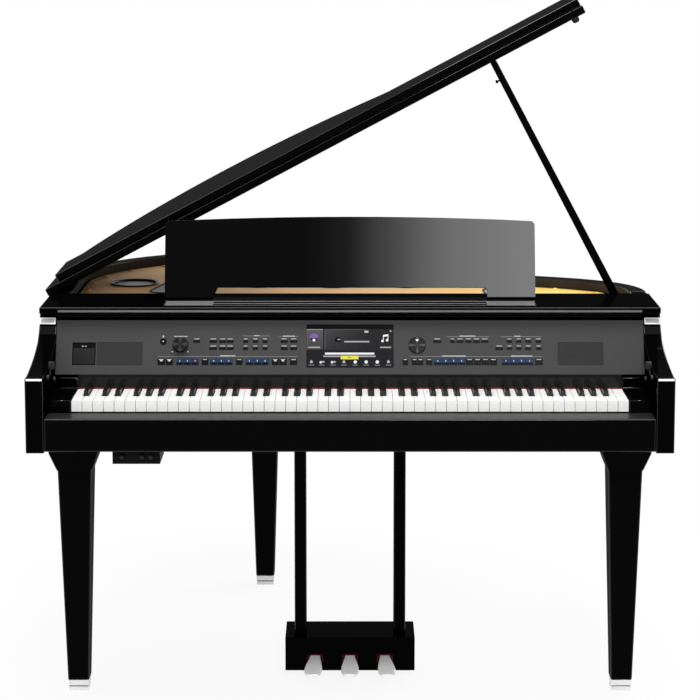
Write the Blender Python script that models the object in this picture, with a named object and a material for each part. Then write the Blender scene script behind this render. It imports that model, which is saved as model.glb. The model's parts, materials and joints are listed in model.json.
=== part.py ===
"""Digital grand piano, lid propped open, as separate pieces in metres.

X runs to the player's right, Y from the player towards the tail, Z up from the floor.
Depths along Y are measured back from the front faces of the white keys.
"""
import math

import bmesh
import bpy
from mathutils import Vector

# Gaps and common walls
SEAT = 0.0003                 # left between two pieces that touch
RUN = 0.0005                  # left beside a piece that slides or turns

# Frame
KEY_FRONT_Y = -0.560          # puts the origin under the middle of the whole piano

# Keyboard's width, which sets the width of the case
OCTAVE_WIDTH = 0.165
WHITE_COUNT = 52
KEYS_HALF = WHITE_COUNT * OCTAVE_WIDTH / 14
KEY_BLOCK_WIDTH = 0.05214     # from the end key to the side panel

# Case
CASE_WALL = 0.040
CASE_HALF = KEYS_HALF + KEY_BLOCK_WIDTH + CASE_WALL
CASE_UNDERSIDE = 0.617
RIM_TOP = 0.892
ARM_FRONT = -0.070
ARM_TOP = 0.783
ARM_FLAT = 0.027
CHEEK_TOP_DEPTH = 0.199
BOARD_UNDERSIDE = 0.6205
BOARD_THICKNESS = 0.022
WOOFER_HOLE_RADIUS = 0.066
WOOFER_X = 0.330
WOOFER_DEPTH = 0.560
WOOFER_FLANGE = 0.014         # width of the flange round the hole
WOOFER_HEIGHT = 0.056
MAGNET_RADIUS = 0.034
BASKET_WALL = 0.012
BELLY_RAIL_THICKNESS = 0.011

# Plan curve of the rim from the left side round the tail to the right side. Each point has its
# X, its depth behind the lid's front edge, its heading in degrees and its handles before and after.
LID_NEAR = 0.382
TAIL_DEPTH = 0.793
RIM_CURVE = (
    (-CASE_HALF, 0.360, 90.0, 0.0, 0.185),
    (-0.390 * CASE_HALF, TAIL_DEPTH, 0.0, 0.240, 0.225),
    (0.3475 * CASE_HALF, 0.468, -44.5, 0.185, 0.090),
    (0.702 * CASE_HALF, 0.323, -21.7, 0.080, 0.125),
    (CASE_HALF, 0.080, -90.0, 0.130, 0.0),
)
CURVE_STEPS = 12

# Top board, the fixed strip in front of the lid
TOP_BOARD_WIDTH = 2 * CASE_HALF - 0.004
TOP_BOARD_FRONT = 0.170
TOP_BOARD_UNDERSIDE = 0.885
TOP_BOARD_TOP = 0.900

# Key slip and key blocks
SLIP_TOP = 0.6935
SLIP_BACK = -0.002
BLOCK_TOP = 0.7215
BLOCK_BACK = 0.1390
BLOCK_STEP_DEPTH = 0.1335     # behind this the block rises beside the fallboard strip
BLOCK_STEP_TOP = 0.746

# Keys
KEY_COUNT = 88
KEY_GAP = 0.0010
WHITE_TOP = 0.720
WHITE_TAIL_TOP = 0.710
KEY_BOTTOM = 0.7003
KEY_LIP_BOTTOM = 0.6957
KEY_LIP_DEPTH = 0.012
KEY_VISIBLE = 0.1325
HEAD_LENGTH = 0.050
KEY_TAIL_END = 0.2470
KEY_PIVOT = 0.240
KEY_RAIL_FRONT = 0.2485
KEY_RAIL_BACK = 0.262
FRONT_RAIL = (0.003, 0.040)   # depths of the key frame's front rail
KEY_TRAVEL_ROOM = 0.012       # between a resting key's lip and the front rail
BALANCE_LEAD = 0.003          # the key frame's rear rail reaches this far in front of the pivots
BLACK_TOP = 0.7320
BLACK_TAIL_TOP = 0.7215
BLACK_FOOT_WIDTH = 0.0124
BLACK_TOP_WIDTH = 0.0096
BLACK_TAIL_WIDTH = 0.0080
BLACK_SLOPE = 0.007
FIRST_MOVING_KEY = 39         # middle C, counted from 0 at the lowest key
MOVING_KEYS = 12
NOTE_NAMES = ("c", "c_sharp", "d", "d_sharp", "e", "f", "f_sharp", "g", "g_sharp", "a", "a_sharp", "b")

# Fallboard strip and control panel
STRIP_BOTTOM = 0.7222
STRIP_TOP = 0.746
STRIP_THICKNESS = 0.012
PANEL_FOOT_DEPTH = 0.140
PANEL_FOOT_Z = 0.752
PANEL_LEAN = math.radians(22.5)
PANEL_HEIGHT = 0.1255
PANEL_THICKNESS = 0.010
DISPLAY_WIDTH = 0.196
DISPLAY_LOW = 0.0165
DISPLAY_HIGH = 0.1155
DISPLAY_THICKNESS = 0.018
GRILLE_X = CASE_HALF - 0.184
GRILLE_WIDTH = 0.103
GRILLE_LOW = 0.0213
GRILLE_HIGH = 0.0741
GRILLE_THICKNESS = 0.006
BAY_X = 0.1035 - CASE_HALF
BAY_WIDTH = 0.053
DIAL_X = -0.3836
DIAL_RADIUS = 0.0171
DIAL_HEIGHT = 0.013
DIAL_SHAFT_RADIUS = 0.003
PAD_X = 0.1521
PAD_RADIUS = 0.0185
PAD_PROUD = 0.004
CONTROL_LEVEL = 0.0673        # height of the dial's and the pad's centre up the panel

# Stored key cover
COVER_FRONT = 0.196
COVER_BACK = 0.366
COVER_THICKNESS = 0.0127

# Frame plate and the screen cloth board under it
SCREEN_TOP = 0.8657
SCREEN_THICKNESS = 0.011
PLATE_TOP = 0.8715
PLATE_BORDER = 0.008
PLATE_FRONT = 0.3955
PLATE_HOLE = (-0.536, 0.720, 0.055)
# each slot in the plate: X and depth of its two ends, and its radius
PLATE_SLOTS = (
    (-0.455, 0.600, -0.370, 0.960, 0.036),
    (-0.225, 0.705, -0.205, 1.010, 0.055),
    (-0.045, 0.705, -0.035, 0.920, 0.058),
    (0.140, 0.700, 0.132, 0.750, 0.052),
    (0.375, 0.500, 0.368, 0.610, 0.045),
)

# Lid, front leaf and prop
LID_OPEN = math.radians(27.95)
HINGE_X = -CASE_HALF - 0.0015
HINGE_ABOVE_RIM = 0.003
LID_OVERHANG = 0.005
LID_THICKNESS = 0.0193
LID_LIFT_OFF = 0.0005         # underside of the closed lid above the rim
LEAF_DEPTH = 0.2110
LEAF_GAP = 0.0006
LEAF_INSET = 0.030            # left end of the leaf inside the top board's left end
LEAF_OVERHANG = 0.004         # right end of the leaf past the top board's right end
LID_EDGE_ROUND = 0.003
PROP_PIVOT_X = CASE_HALF - 0.0745
PROP_PIVOT_Z = 0.882
PROP_DEPTH = 0.400
PROP_THICKNESS = 0.012
PROP_FOOT_HALF = 0.0095
PROP_TIP_HALF = 0.0075
PROP_PIN_RADIUS = 0.004
BRACKET_EAR = 0.003
BRACKET_TOP = 0.8945
BRACKET_INNER_X = CASE_HALF - 0.093

# Music desk, its rail and its stays
RAIL_WIDTH = 0.845
RAIL_FRONT = 0.195
RAIL_BACK = 0.300
RAIL_TOP = 0.9032
RAIL_STEPS = (0.022, 0.048)   # from the rail's front to its second and third steps
DESK_DEPTH = 0.260
DESK_LEAN = math.radians(15)
DESK_WIDTH = 0.851
DESK_HEIGHT = 0.186
DESK_CORNER_HEIGHT = 0.176
DESK_CORNER_RADIUS = 0.010
DESK_THICKNESS = 0.012
DESK_SLOT_WIDTH = 0.630
DESK_SLOT_HEIGHT = 0.0225
STAY_X = 0.360
STAY_LENGTH = 0.085
STAY_PIVOT_HEIGHT = 0.075
STAY_BEHIND = 0.0032
STAY_HALF = 0.0022
STAY_WIDTH = 0.008
POCKET_WIDTH = 0.011

# Legs: widths are of the square section
LEG_X = CASE_HALF - 0.077
LEG_DEPTH = 0.207
REAR_LEG_X = -0.228
REAR_LEG_DEPTH = 1.090
LEG_FOOT_WIDTH = 0.049
LEG_NECK_WIDTH = 0.078
LEG_NECK_Z = 0.523
LEG_STEP_WIDTH = 0.083
LEG_STEP_Z = 0.5255
LEG_HEAD_WIDTH = 0.114
LEG_HEAD_Z = 0.567
FERRULE_TOP = 0.0245
FERRULE_WIDTH = 0.0465
FERRULE_BOTTOM = 0.0115
GROOVE_WIDTH = 0.042
PAD_TOP = 0.009
PAD_WIDTH = 0.0445

# Lyre posts, pedal box and pedals
POST_X = 0.116
POST_WIDTH = 0.028
POST_FRONT = 0.285
PEDAL_BOX_WIDTH = 0.303
PEDAL_BOX_FRONT = 0.253
PEDAL_BOX_BACK = 0.380
PEDAL_BOX_BOTTOM = 0.025
PEDAL_BOX_LEDGE_Z = 0.090
PEDAL_BOX_LEDGE_TOP = 0.105
PEDAL_BOX_CREST = 0.106
PEDAL_BOX_LEDGE_PROUD = 0.002
PEDAL_BOX_WALL = 0.006
PEDAL_PIVOT_DEPTH = 0.360
PEDAL_Z = 0.0580
PEDAL_THICKNESS = 0.007
PEDAL_STEM_END = 0.262        # depth at which the stem starts to widen
PEDAL_TIP = 0.152
PEDAL_FOOT_WIDTH = 0.041
PEDAL_DIP = 0.013             # fall from the stem to the tip
PEDAL_FLARE = 0.004           # outward lean of an outer pedal's foot
PEDAL_STEM_WIDTH = 0.022
PEDAL_SPACING = 0.0815
PEDAL_BARREL_RADIUS = 0.0055
PEDAL_WINDOW_WIDTH = 0.037
PEDAL_WINDOW_LOW = 0.0437
PEDAL_WINDOW_HIGH = 0.0646

# Jack box and inner parts
JACK_BOX_X = (-0.519, -0.415)
JACK_BOX_DEPTH = (-0.045, 0.060)
JACK_BOX_BOTTOM = 0.5885
JACK_SPOTS = (-0.4985, -0.4545, -0.4345)
JACK_RADIUS = 0.0055
MAIN_BOARD_SIZE = (0.300, 0.200, 0.0016)
MAIN_BOARD_SPOT = (0.020, 0.540)
POWER_UNIT_SIZE = (0.150, 0.090, 0.045)
POWER_UNIT_SPOT = (-0.110, 0.800)


def back(depth):
    """World Y of a depth measured back from the white keys' front faces."""
    return KEY_FRONT_Y + depth


def material(name, colour, roughness, metallic=0.0):
    made = bpy.data.materials.new(name)
    made.use_nodes = True
    shader = made.node_tree.nodes["Principled BSDF"]
    shader.inputs["Base Color"].default_value = (*colour, 1.0)
    shader.inputs["Roughness"].default_value = roughness
    shader.inputs["Metallic"].default_value = metallic
    made.diffuse_color = (*colour, 1.0)
    return made


def empty(name, location, rotation=(0, 0, 0), parent=None):
    """An axis or a leaning frame that pieces hang on."""
    made = bpy.data.objects.new(name, None)
    made.location = location
    made.rotation_euler = rotation
    made.parent = parent
    bpy.context.scene.collection.objects.link(made)
    return made


def place(a, b, c, axis):
    """A point from its two outline coordinates and its place along the extruded axis."""
    return {"X": (c, a, b), "Y": (a, c, b), "Z": (a, b, c)}[axis]


def loft(bm, sections):
    """Closed skin through sections that have the same number of points."""
    rings = [[bm.verts.new(spot) for spot in section] for section in sections]
    for ring, following in zip(rings, rings[1:]):
        for i in range(len(ring)):
            j = (i + 1) % len(ring)
            bm.faces.new((ring[i], ring[j], following[j], following[i]))
    bm.faces.new(rings[0])
    bm.faces.new(rings[-1])
    return bm


def prism(bm, outline, axis, low, high):
    """The outline extruded along one axis. It is given in the other two axes, in X, Y, Z order."""
    return loft(bm, [[place(a, b, end, axis) for a, b in outline] for end in (low, high)])


def box(bm, low, high):
    corners = [(low[0], low[1]), (high[0], low[1]), (high[0], high[1]), (low[0], high[1])]
    return prism(bm, corners, "Z", low[2], high[2])


def circle(x, y, radius, sides):
    return [(x + radius * math.cos(2 * math.pi * i / sides), y + radius * math.sin(2 * math.pi * i / sides))
            for i in range(sides)]


def capsule(x0, y0, x1, y1, radius, sides):
    """Outline of a slot with round ends between two centres."""
    heading = math.atan2(y1 - y0, x1 - x0)
    outline = []
    for centre, start in (((x1, y1), heading - math.pi / 2), ((x0, y0), heading + math.pi / 2)):
        for i in range(sides + 1):
            turn = start + math.pi * i / sides
            outline.append((centre[0] + radius * math.cos(turn), centre[1] + radius * math.sin(turn)))
    return outline


def make(name, bm, finish=None, pivot=(0, 0, 0), parent=None, smooth=None):
    """An object from a mesh made in its parent's frame, with its origin at the pivot."""
    bmesh.ops.recalc_face_normals(bm, faces=bm.faces)
    bmesh.ops.translate(bm, verts=bm.verts, vec=-Vector(pivot))
    mesh = bpy.data.meshes.new(name)
    bm.to_mesh(mesh)
    bm.free()
    if finish:
        mesh.materials.append(finish)
    if smooth:
        mesh.shade_smooth()
        mesh.set_sharp_from_angle(angle=math.radians(smooth))
    made = bpy.data.objects.new(name, mesh)
    made.location = pivot
    made.parent = parent
    bpy.context.scene.collection.objects.link(made)
    return made


def combine(target, name, bm, operation):
    """Cuts the mesh from the target, or joins it on."""
    tool = make(name, bm, parent=target.parent)
    tool.hide_render = True
    tool.display_type = "WIRE"
    modifier = target.modifiers.new(name, "BOOLEAN")
    modifier.operation = operation
    modifier.solver = "EXACT"
    modifier.object = tool


def cut(target, name, bm):
    combine(target, name, bm, "DIFFERENCE")


def join(target, name, bm):
    combine(target, name, bm, "UNION")


def soften(target, width, segments=1, angle=30):
    """Rounds the edges that are sharper than the angle."""
    modifier = target.modifiers.new("soft_edges", "BEVEL")
    modifier.width = width
    modifier.segments = segments
    modifier.limit_method = "ANGLE"
    modifier.angle_limit = math.radians(angle)


def curve_points(nodes, steps):
    """Places and headings along the cubic curves through nodes of (x, y, heading, before, after)."""
    found = []
    for (x0, y0, heading0, _, after), (x1, y1, heading1, before, _) in zip(nodes, nodes[1:]):
        turn0 = math.radians(heading0)
        turn1 = math.radians(heading1)
        a = Vector((x0, y0))
        d = Vector((x1, y1))
        b = a + after * Vector((math.cos(turn0), math.sin(turn0)))
        c = d - before * Vector((math.cos(turn1), math.sin(turn1)))
        for i in range(steps):
            t = i / steps
            u = 1 - t
            spot = u ** 3 * a + 3 * u * u * t * b + 3 * u * t * t * c + t ** 3 * d
            heading = u * u * (b - a) + 2 * u * t * (c - b) + t * t * (d - c)
            found.append((spot, heading.normalized()))
    last = math.radians(nodes[-1][2])
    found.append((Vector(nodes[-1][:2]), Vector((math.cos(last), math.sin(last)))))
    return found


def rim_line(inset):
    """Plan curve of the rim from left to right in world X and Y, moved inwards by the inset."""
    return [(spot.x + inset * heading.y, back(LID_NEAR + spot.y - inset * heading.x))
            for spot, heading in curve_points(RIM_CURVE, CURVE_STEPS)]


def plan_outline(inset, front):
    """Outline inside the rim with a straight front edge at the given depth."""
    line = rim_line(inset)
    return [(line[0][0], back(front))] + line + [(line[-1][0], back(front))]


def side_profile(end_depth):
    """Side panel seen from the side: arm, flat, cheek curve, shelf for the top board, rim top."""
    flat_end = ARM_FRONT + ARM_FLAT
    shelf = TOP_BOARD_UNDERSIDE - SEAT
    cheek = (
        (flat_end, ARM_TOP, 6.0, 0.0, 0.060),
        (0.140, 0.821, 20.0, 0.060, 0.025),
        (CHEEK_TOP_DEPTH, shelf, 82.0, 0.030, 0.0),
    )
    outline = [(ARM_FRONT, CASE_UNDERSIDE), (ARM_FRONT, ARM_TOP)]
    outline += [tuple(spot) for spot, _ in curve_points(cheek, 6)]
    step = LID_NEAR + SEAT
    outline += [(step, shelf), (step, RIM_TOP), (end_depth, RIM_TOP), (end_depth, CASE_UNDERSIDE)]
    return [(back(depth), z) for depth, z in outline]


def make_case(black, cloth):
    inner_x = CASE_HALF - CASE_WALL
    for name, side, node in (("left_side_panel", -1, RIM_CURVE[0]), ("right_side_panel", 1, RIM_CURVE[-1])):
        panel = prism(bmesh.new(), side_profile(LID_NEAR + node[1]), "X", side * inner_x, side * CASE_HALF)
        soften(make(name, panel, black), 0.0015)
    outer = rim_line(0.0)
    inner = rim_line(CASE_WALL)
    ends = [(x, y + SEAT) for x, y in (outer[0], inner[0], outer[-1], inner[-1])]
    ring = [ends[0]] + outer[1:-1] + [ends[2], ends[3]] + inner[-2:0:-1] + [ends[1]]
    make("curved_rim", prism(bmesh.new(), ring, "Z", CASE_UNDERSIDE, RIM_TOP), black, smooth=30)
    floor = plan_outline(CASE_WALL + SEAT, SLIP_BACK + SEAT)
    board = make("bottom_board",
                 prism(bmesh.new(), floor, "Z", BOARD_UNDERSIDE, BOARD_UNDERSIDE + BOARD_THICKNESS), black)
    holes = bmesh.new()
    for side in (-1, 1):
        prism(holes, circle(side * WOOFER_X, back(WOOFER_DEPTH), WOOFER_HOLE_RADIUS, 20), "Z",
              BOARD_UNDERSIDE - 0.01, BOARD_UNDERSIDE + BOARD_THICKNESS + 0.01)
    cut(board, "woofer_holes", holes)
    half = inner_x - SEAT
    rail_back = LID_NEAR - SEAT
    make("belly_rail", box(bmesh.new(), (-half, back(rail_back - BELLY_RAIL_THICKNESS),
                                         BOARD_UNDERSIDE + BOARD_THICKNESS + SEAT),
                           (half, back(rail_back), TOP_BOARD_UNDERSIDE - SEAT)), black)
    top_half = TOP_BOARD_WIDTH / 2
    top_board = make("top_board", box(bmesh.new(), (-top_half, back(TOP_BOARD_FRONT), TOP_BOARD_UNDERSIDE),
                                      (top_half, back(LID_NEAR - SEAT), TOP_BOARD_TOP)), black)
    soften(top_board, 0.0025, 2)
    slip = make("keyslip", box(bmesh.new(), (-half, back(ARM_FRONT), BOARD_UNDERSIDE),
                               (half, back(SLIP_BACK), SLIP_TOP)), black)
    soften(slip, 0.002)
    front = SLIP_BACK + RUN
    low = BOARD_UNDERSIDE + BOARD_THICKNESS + SEAT
    profile = ((front, low), (front, BLOCK_TOP), (BLOCK_STEP_DEPTH, BLOCK_TOP),
               (BLOCK_STEP_DEPTH, BLOCK_STEP_TOP), (BLOCK_BACK, BLOCK_STEP_TOP), (BLOCK_BACK, low))
    for name, side in (("left_key_block", -1), ("right_key_block", 1)):
        block = prism(bmesh.new(), [(back(depth), z) for depth, z in profile], "X",
                      side * (KEYS_HALF + RUN), side * half)
        soften(make(name, block, black), 0.0012)
    screen = plan_outline(CASE_WALL + SEAT, LID_NEAR + SEAT)
    make("sound_screen", prism(bmesh.new(), screen, "Z", SCREEN_TOP - SCREEN_THICKNESS, SCREEN_TOP), cloth)


def make_frame_plate(gold):
    outline = plan_outline(CASE_WALL + PLATE_BORDER, PLATE_FRONT)
    plate = make("frame_plate", prism(bmesh.new(), outline, "Z", SCREEN_TOP + SEAT, PLATE_TOP), gold)
    openings = bmesh.new()
    low = SCREEN_TOP - 0.01
    high = PLATE_TOP + 0.01
    x, depth, radius = PLATE_HOLE
    prism(openings, circle(x, back(depth), radius, 28), "Z", low, high)
    for x0, depth0, x1, depth1, radius in PLATE_SLOTS:
        prism(openings, capsule(x0, back(depth0), x1, back(depth1), radius, 10), "Z", low, high)
    cut(plate, "plate_openings", openings)


def make_woofers(dark):
    """Each speaker stands on the bottom board over its hole and faces down."""
    seat = BOARD_UNDERSIDE + BOARD_THICKNESS + SEAT
    flange = WOOFER_HOLE_RADIUS + WOOFER_FLANGE
    shoulder = WOOFER_HEIGHT - 0.022
    cone = WOOFER_HOLE_RADIUS - 0.004
    dust_cap = MAGNET_RADIUS - 0.016
    profile = (
        (flange, 0.0), (flange, 0.005), (cone + 0.002, 0.008), (MAGNET_RADIUS, shoulder),
        (MAGNET_RADIUS, WOOFER_HEIGHT), (0.0, WOOFER_HEIGHT), (0.0, shoulder - BASKET_WALL - 0.008),
        (dust_cap, shoulder - BASKET_WALL - 0.004), (dust_cap + 0.006, shoulder - BASKET_WALL),
        (cone - 0.006, 0.002), (cone, 0.0),
    )
    for name, side in (("left_woofer", -1), ("right_woofer", 1)):
        spindle = bmesh.new()
        verts = [spindle.verts.new((side * WOOFER_X + r, back(WOOFER_DEPTH), seat + z)) for r, z in profile]
        edges = [spindle.edges.new(pair) for pair in zip(verts, verts[1:] + verts[:1])]
        bmesh.ops.spin(spindle, geom=verts + edges, cent=(side * WOOFER_X, back(WOOFER_DEPTH), seat),
                       axis=(0, 0, 1), angle=2 * math.pi, steps=20, use_merge=True)
        bmesh.ops.remove_doubles(spindle, verts=spindle.verts, dist=0.00005)
        flat = [edge for edge in spindle.edges if not edge.link_faces]
        bmesh.ops.delete(spindle, geom=flat, context="EDGES")
        make(name, spindle, dark, smooth=35)


def note_of(key):
    """Octave and note of a key counted from the lowest A."""
    return (key + 9) // 12, (key + 9) % 12


def white_span(key):
    """Left and right X of a white key's head, without its gaps."""
    pitch = OCTAVE_WIDTH / 7
    octave, note = note_of(key)
    index = 7 * octave + (0, 0, 1, 1, 2, 3, 3, 4, 4, 5, 5, 6)[note] - 5
    left = (index - WHITE_COUNT / 2) * pitch
    return left, left + pitch


def lane_span(key):
    """Left and right X of a key's tail: five equal lanes from C to E and seven from F to B."""
    pitch = OCTAVE_WIDTH / 7
    octave, note = note_of(key)
    left = (7 * octave - 5 - WHITE_COUNT / 2) * pitch
    if note < 5:
        width = 3 * pitch / 5
        left += note * width
    else:
        width = 4 * pitch / 7
        left += 3 * pitch + (note - 5) * width
    return left, left + width


def is_black(key):
    return note_of(key)[1] in (1, 3, 6, 8, 10)


def add_white_key(bm, key, tail_end):
    left, right = white_span(key)
    profile = (
        (0.0, KEY_LIP_BOTTOM), (0.0, WHITE_TOP), (KEY_VISIBLE, WHITE_TOP), (KEY_VISIBLE, WHITE_TAIL_TOP),
        (tail_end, WHITE_TAIL_TOP), (tail_end, KEY_BOTTOM), (KEY_LIP_DEPTH, KEY_BOTTOM),
        (KEY_LIP_DEPTH, KEY_LIP_BOTTOM),
    )
    prism(bm, [(back(depth), z) for depth, z in profile], "X", left + KEY_GAP / 2, right - KEY_GAP / 2)


def add_black_slot(bm, key):
    """Room for a black key between its neighbours."""
    left, right = lane_span(key)
    box(bm, (left - KEY_GAP / 2, back(HEAD_LENGTH), KEY_LIP_BOTTOM - 0.01),
        (right + KEY_GAP / 2, back(KEY_TAIL_END + 0.0005), WHITE_TOP + 0.01))


def add_black_key(bm, key, joined):
    """A black key lofted back from its front slope. A joined one reaches over the white keys' rail."""
    left, right = lane_span(key)
    middle = (left + right) / 2
    front = HEAD_LENGTH + KEY_GAP
    stations = [
        (front, KEY_BOTTOM, WHITE_TOP - 0.004, BLACK_FOOT_WIDTH, BLACK_FOOT_WIDTH),
        (front + BLACK_SLOPE, KEY_BOTTOM, BLACK_TOP - 0.001, BLACK_FOOT_WIDTH, BLACK_TOP_WIDTH),
        (KEY_VISIBLE, KEY_BOTTOM, BLACK_TOP, BLACK_FOOT_WIDTH, BLACK_TOP_WIDTH),
        (KEY_VISIBLE + 0.0002, KEY_BOTTOM, BLACK_TAIL_TOP, BLACK_TAIL_WIDTH, BLACK_TAIL_WIDTH),
        (KEY_TAIL_END, KEY_BOTTOM, BLACK_TAIL_TOP, BLACK_TAIL_WIDTH, BLACK_TAIL_WIDTH),
    ]
    if joined:
        low = WHITE_TAIL_TOP + KEY_GAP / 2
        for depth in (KEY_TAIL_END + 0.0002, KEY_RAIL_FRONT + 0.004):
            stations.append((depth, low, BLACK_TAIL_TOP, BLACK_TAIL_WIDTH, BLACK_TAIL_WIDTH))
    loft(bm, [
        [(middle - foot / 2, back(depth), low), (middle + foot / 2, back(depth), low),
         (middle + crown / 2, back(depth), high), (middle - crown / 2, back(depth), high)]
        for depth, low, high, foot, crown in stations
    ])


def make_keys(ivory, ebony, wood):
    moving = range(FIRST_MOVING_KEY, FIRST_MOVING_KEY + MOVING_KEYS)
    rail_half = KEYS_HALF - KEY_GAP / 2
    static_white = bmesh.new()
    static_black = bmesh.new()
    slots = bmesh.new()
    for key in range(KEY_COUNT):
        if is_black(key):
            add_black_slot(slots, key)
        if key in moving:
            continue
        if is_black(key):
            add_black_key(static_black, key, True)
        else:
            add_white_key(static_white, key, KEY_RAIL_FRONT + 0.004)
    white_rail = box(bmesh.new(), (-rail_half, back(KEY_RAIL_FRONT), KEY_BOTTOM),
                     (rail_half, back(KEY_RAIL_BACK), WHITE_TAIL_TOP))
    white_keys = make("white_keys", white_rail, ivory)
    join(white_keys, "white_key_blanks", static_white)
    cut(white_keys, "black_key_slots", slots)
    black_rail = box(bmesh.new(), (-rail_half, back(KEY_RAIL_FRONT), WHITE_TAIL_TOP + KEY_GAP / 2),
                     (rail_half, back(KEY_RAIL_BACK), BLACK_TAIL_TOP))
    join(make("black_keys", black_rail, ebony), "black_key_sticks", static_black)
    for key in moving:
        name = "key_" + NOTE_NAMES[note_of(key)[1]]
        middle = sum(lane_span(key)) / 2
        shape = bmesh.new()
        pivot = (middle, back(KEY_PIVOT), (KEY_BOTTOM + WHITE_TAIL_TOP) / 2)
        if is_black(key):
            add_black_key(shape, key, False)
            make(name, shape, ebony, pivot=pivot)
            continue
        add_white_key(shape, key, KEY_TAIL_END)
        stick = make(name, shape, ivory, pivot=pivot)
        beside = bmesh.new()
        for neighbour in (key - 1, key + 1):
            if is_black(neighbour):
                add_black_slot(beside, neighbour)
        cut(stick, name + "_slots", beside)
    floor = BOARD_UNDERSIDE + BOARD_THICKNESS + SEAT
    base_top = floor + 0.012
    front_top = KEY_LIP_BOTTOM - KEY_TRAVEL_ROOM
    rail_top = KEY_BOTTOM - SEAT
    front, rear = FRONT_RAIL
    balance = KEY_PIVOT - BALANCE_LEAD
    frame = ((front, floor), (front, front_top), (rear, front_top), (rear, base_top),
             (balance, base_top), (balance, rail_top), (KEY_RAIL_BACK, rail_top), (KEY_RAIL_BACK, floor))
    make("key_frame", prism(bmesh.new(), [(back(depth), z) for depth, z in frame], "X",
                            -KEYS_HALF, KEYS_HALF), wood)


def make_fallboard_strip(black):
    front = KEY_VISIBLE + RUN
    seat_front = PANEL_FOOT_DEPTH + 0.001
    profile = (
        (front, STRIP_BOTTOM), (front, STRIP_TOP), (seat_front, STRIP_TOP), (seat_front, PANEL_FOOT_Z - SEAT),
        (seat_front + STRIP_THICKNESS, PANEL_FOOT_Z - SEAT), (seat_front + STRIP_THICKNESS, STRIP_BOTTOM),
    )
    make("fallboard_strip", prism(bmesh.new(), [(back(depth), z) for depth, z in profile], "X",
                                  -KEYS_HALF, KEYS_HALF), black)


def panel_piece(bm, x, width, low, high, front, rear):
    """A block set in the leaning panel, with its front and rear measured into the panel."""
    return box(bm, (x - width / 2, front, low), (x + width / 2, rear, high))


def make_control_panel(grey, black, glass, silver):
    """Panel and what sits in it, in a frame whose Z runs up the leaning face and Y into it."""
    face = empty("panel_face", (0, back(PANEL_FOOT_DEPTH), PANEL_FOOT_Z), (-PANEL_LEAN, 0, 0))
    half = CASE_HALF - CASE_WALL - SEAT
    foot = PANEL_THICKNESS * math.tan(PANEL_LEAN)
    profile = ((0.0, 0.0), (0.0, PANEL_HEIGHT), (PANEL_THICKNESS, PANEL_HEIGHT), (PANEL_THICKNESS, foot))
    panel = make("control_panel", prism(bmesh.new(), profile, "X", -half, half), grey, parent=face)
    windows = bmesh.new()
    through = (-0.01, PANEL_THICKNESS + 0.01)
    panel_piece(windows, 0.0, DISPLAY_WIDTH + 2 * SEAT, DISPLAY_LOW - SEAT, DISPLAY_HIGH + SEAT, *through)
    for x, width in ((-GRILLE_X, GRILLE_WIDTH), (GRILLE_X, GRILLE_WIDTH), (BAY_X, BAY_WIDTH)):
        panel_piece(windows, x, width + 2 * SEAT, GRILLE_LOW - SEAT, GRILLE_HIGH + SEAT, *through)
    prism(windows, circle(DIAL_X, CONTROL_LEVEL, DIAL_SHAFT_RADIUS + SEAT, 12), "Y", *through)
    prism(windows, circle(PAD_X, CONTROL_LEVEL, PAD_RADIUS + SEAT, 28), "Y", *through)
    cut(panel, "panel_windows", windows)
    make("display_module", panel_piece(bmesh.new(), 0.0, DISPLAY_WIDTH, DISPLAY_LOW, DISPLAY_HIGH,
                                       -0.0008, DISPLAY_THICKNESS), glass, parent=face)
    for name, x in (("left_speaker_grille", -GRILLE_X), ("right_speaker_grille", GRILLE_X)):
        make(name, panel_piece(bmesh.new(), x, GRILLE_WIDTH, GRILLE_LOW, GRILLE_HIGH, 0.0006,
                               GRILLE_THICKNESS), grey, parent=face)
    make("device_bay", panel_piece(bmesh.new(), BAY_X, BAY_WIDTH, GRILLE_LOW, GRILLE_HIGH, 0.0015,
                                   PANEL_THICKNESS), black, parent=face)
    knob = [(DIAL_RADIUS, -SEAT), (DIAL_RADIUS * 0.96, -DIAL_HEIGHT + 0.001),
            (DIAL_RADIUS * 0.88, -DIAL_HEIGHT)]
    shaft = [(DIAL_SHAFT_RADIUS, 0.007), (DIAL_SHAFT_RADIUS, -SEAT)]
    dial = loft(bmesh.new(), [[(DIAL_X + x, y, CONTROL_LEVEL + z) for x, z in circle(0, 0, radius, 24)]
                              for radius, y in shaft + knob])
    make("volume_dial", dial, black, pivot=(DIAL_X, 0, CONTROL_LEVEL), parent=face, smooth=35)
    crown = [(PAD_RADIUS, PANEL_THICKNESS - 0.002), (PAD_RADIUS, -PAD_PROUD + 0.001),
             (PAD_RADIUS - 0.0015, -PAD_PROUD)]
    pad = loft(bmesh.new(), [[(PAD_X + x, y, CONTROL_LEVEL + z) for x, z in circle(0, 0, radius, 28)]
                             for radius, y in crown])
    make("four_way_pad", pad, silver, pivot=(PAD_X, 0, CONTROL_LEVEL), parent=face, smooth=35)


def make_key_cover(black):
    half = CASE_HALF - CASE_WALL - RUN
    top = TOP_BOARD_UNDERSIDE - RUN
    cover = make("key_cover", box(bmesh.new(), (-half, back(COVER_FRONT), top - COVER_THICKNESS),
                                  (half, back(COVER_BACK), top)), black,
                 pivot=(0, back(COVER_FRONT), top))
    soften(cover, 0.002)


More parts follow.
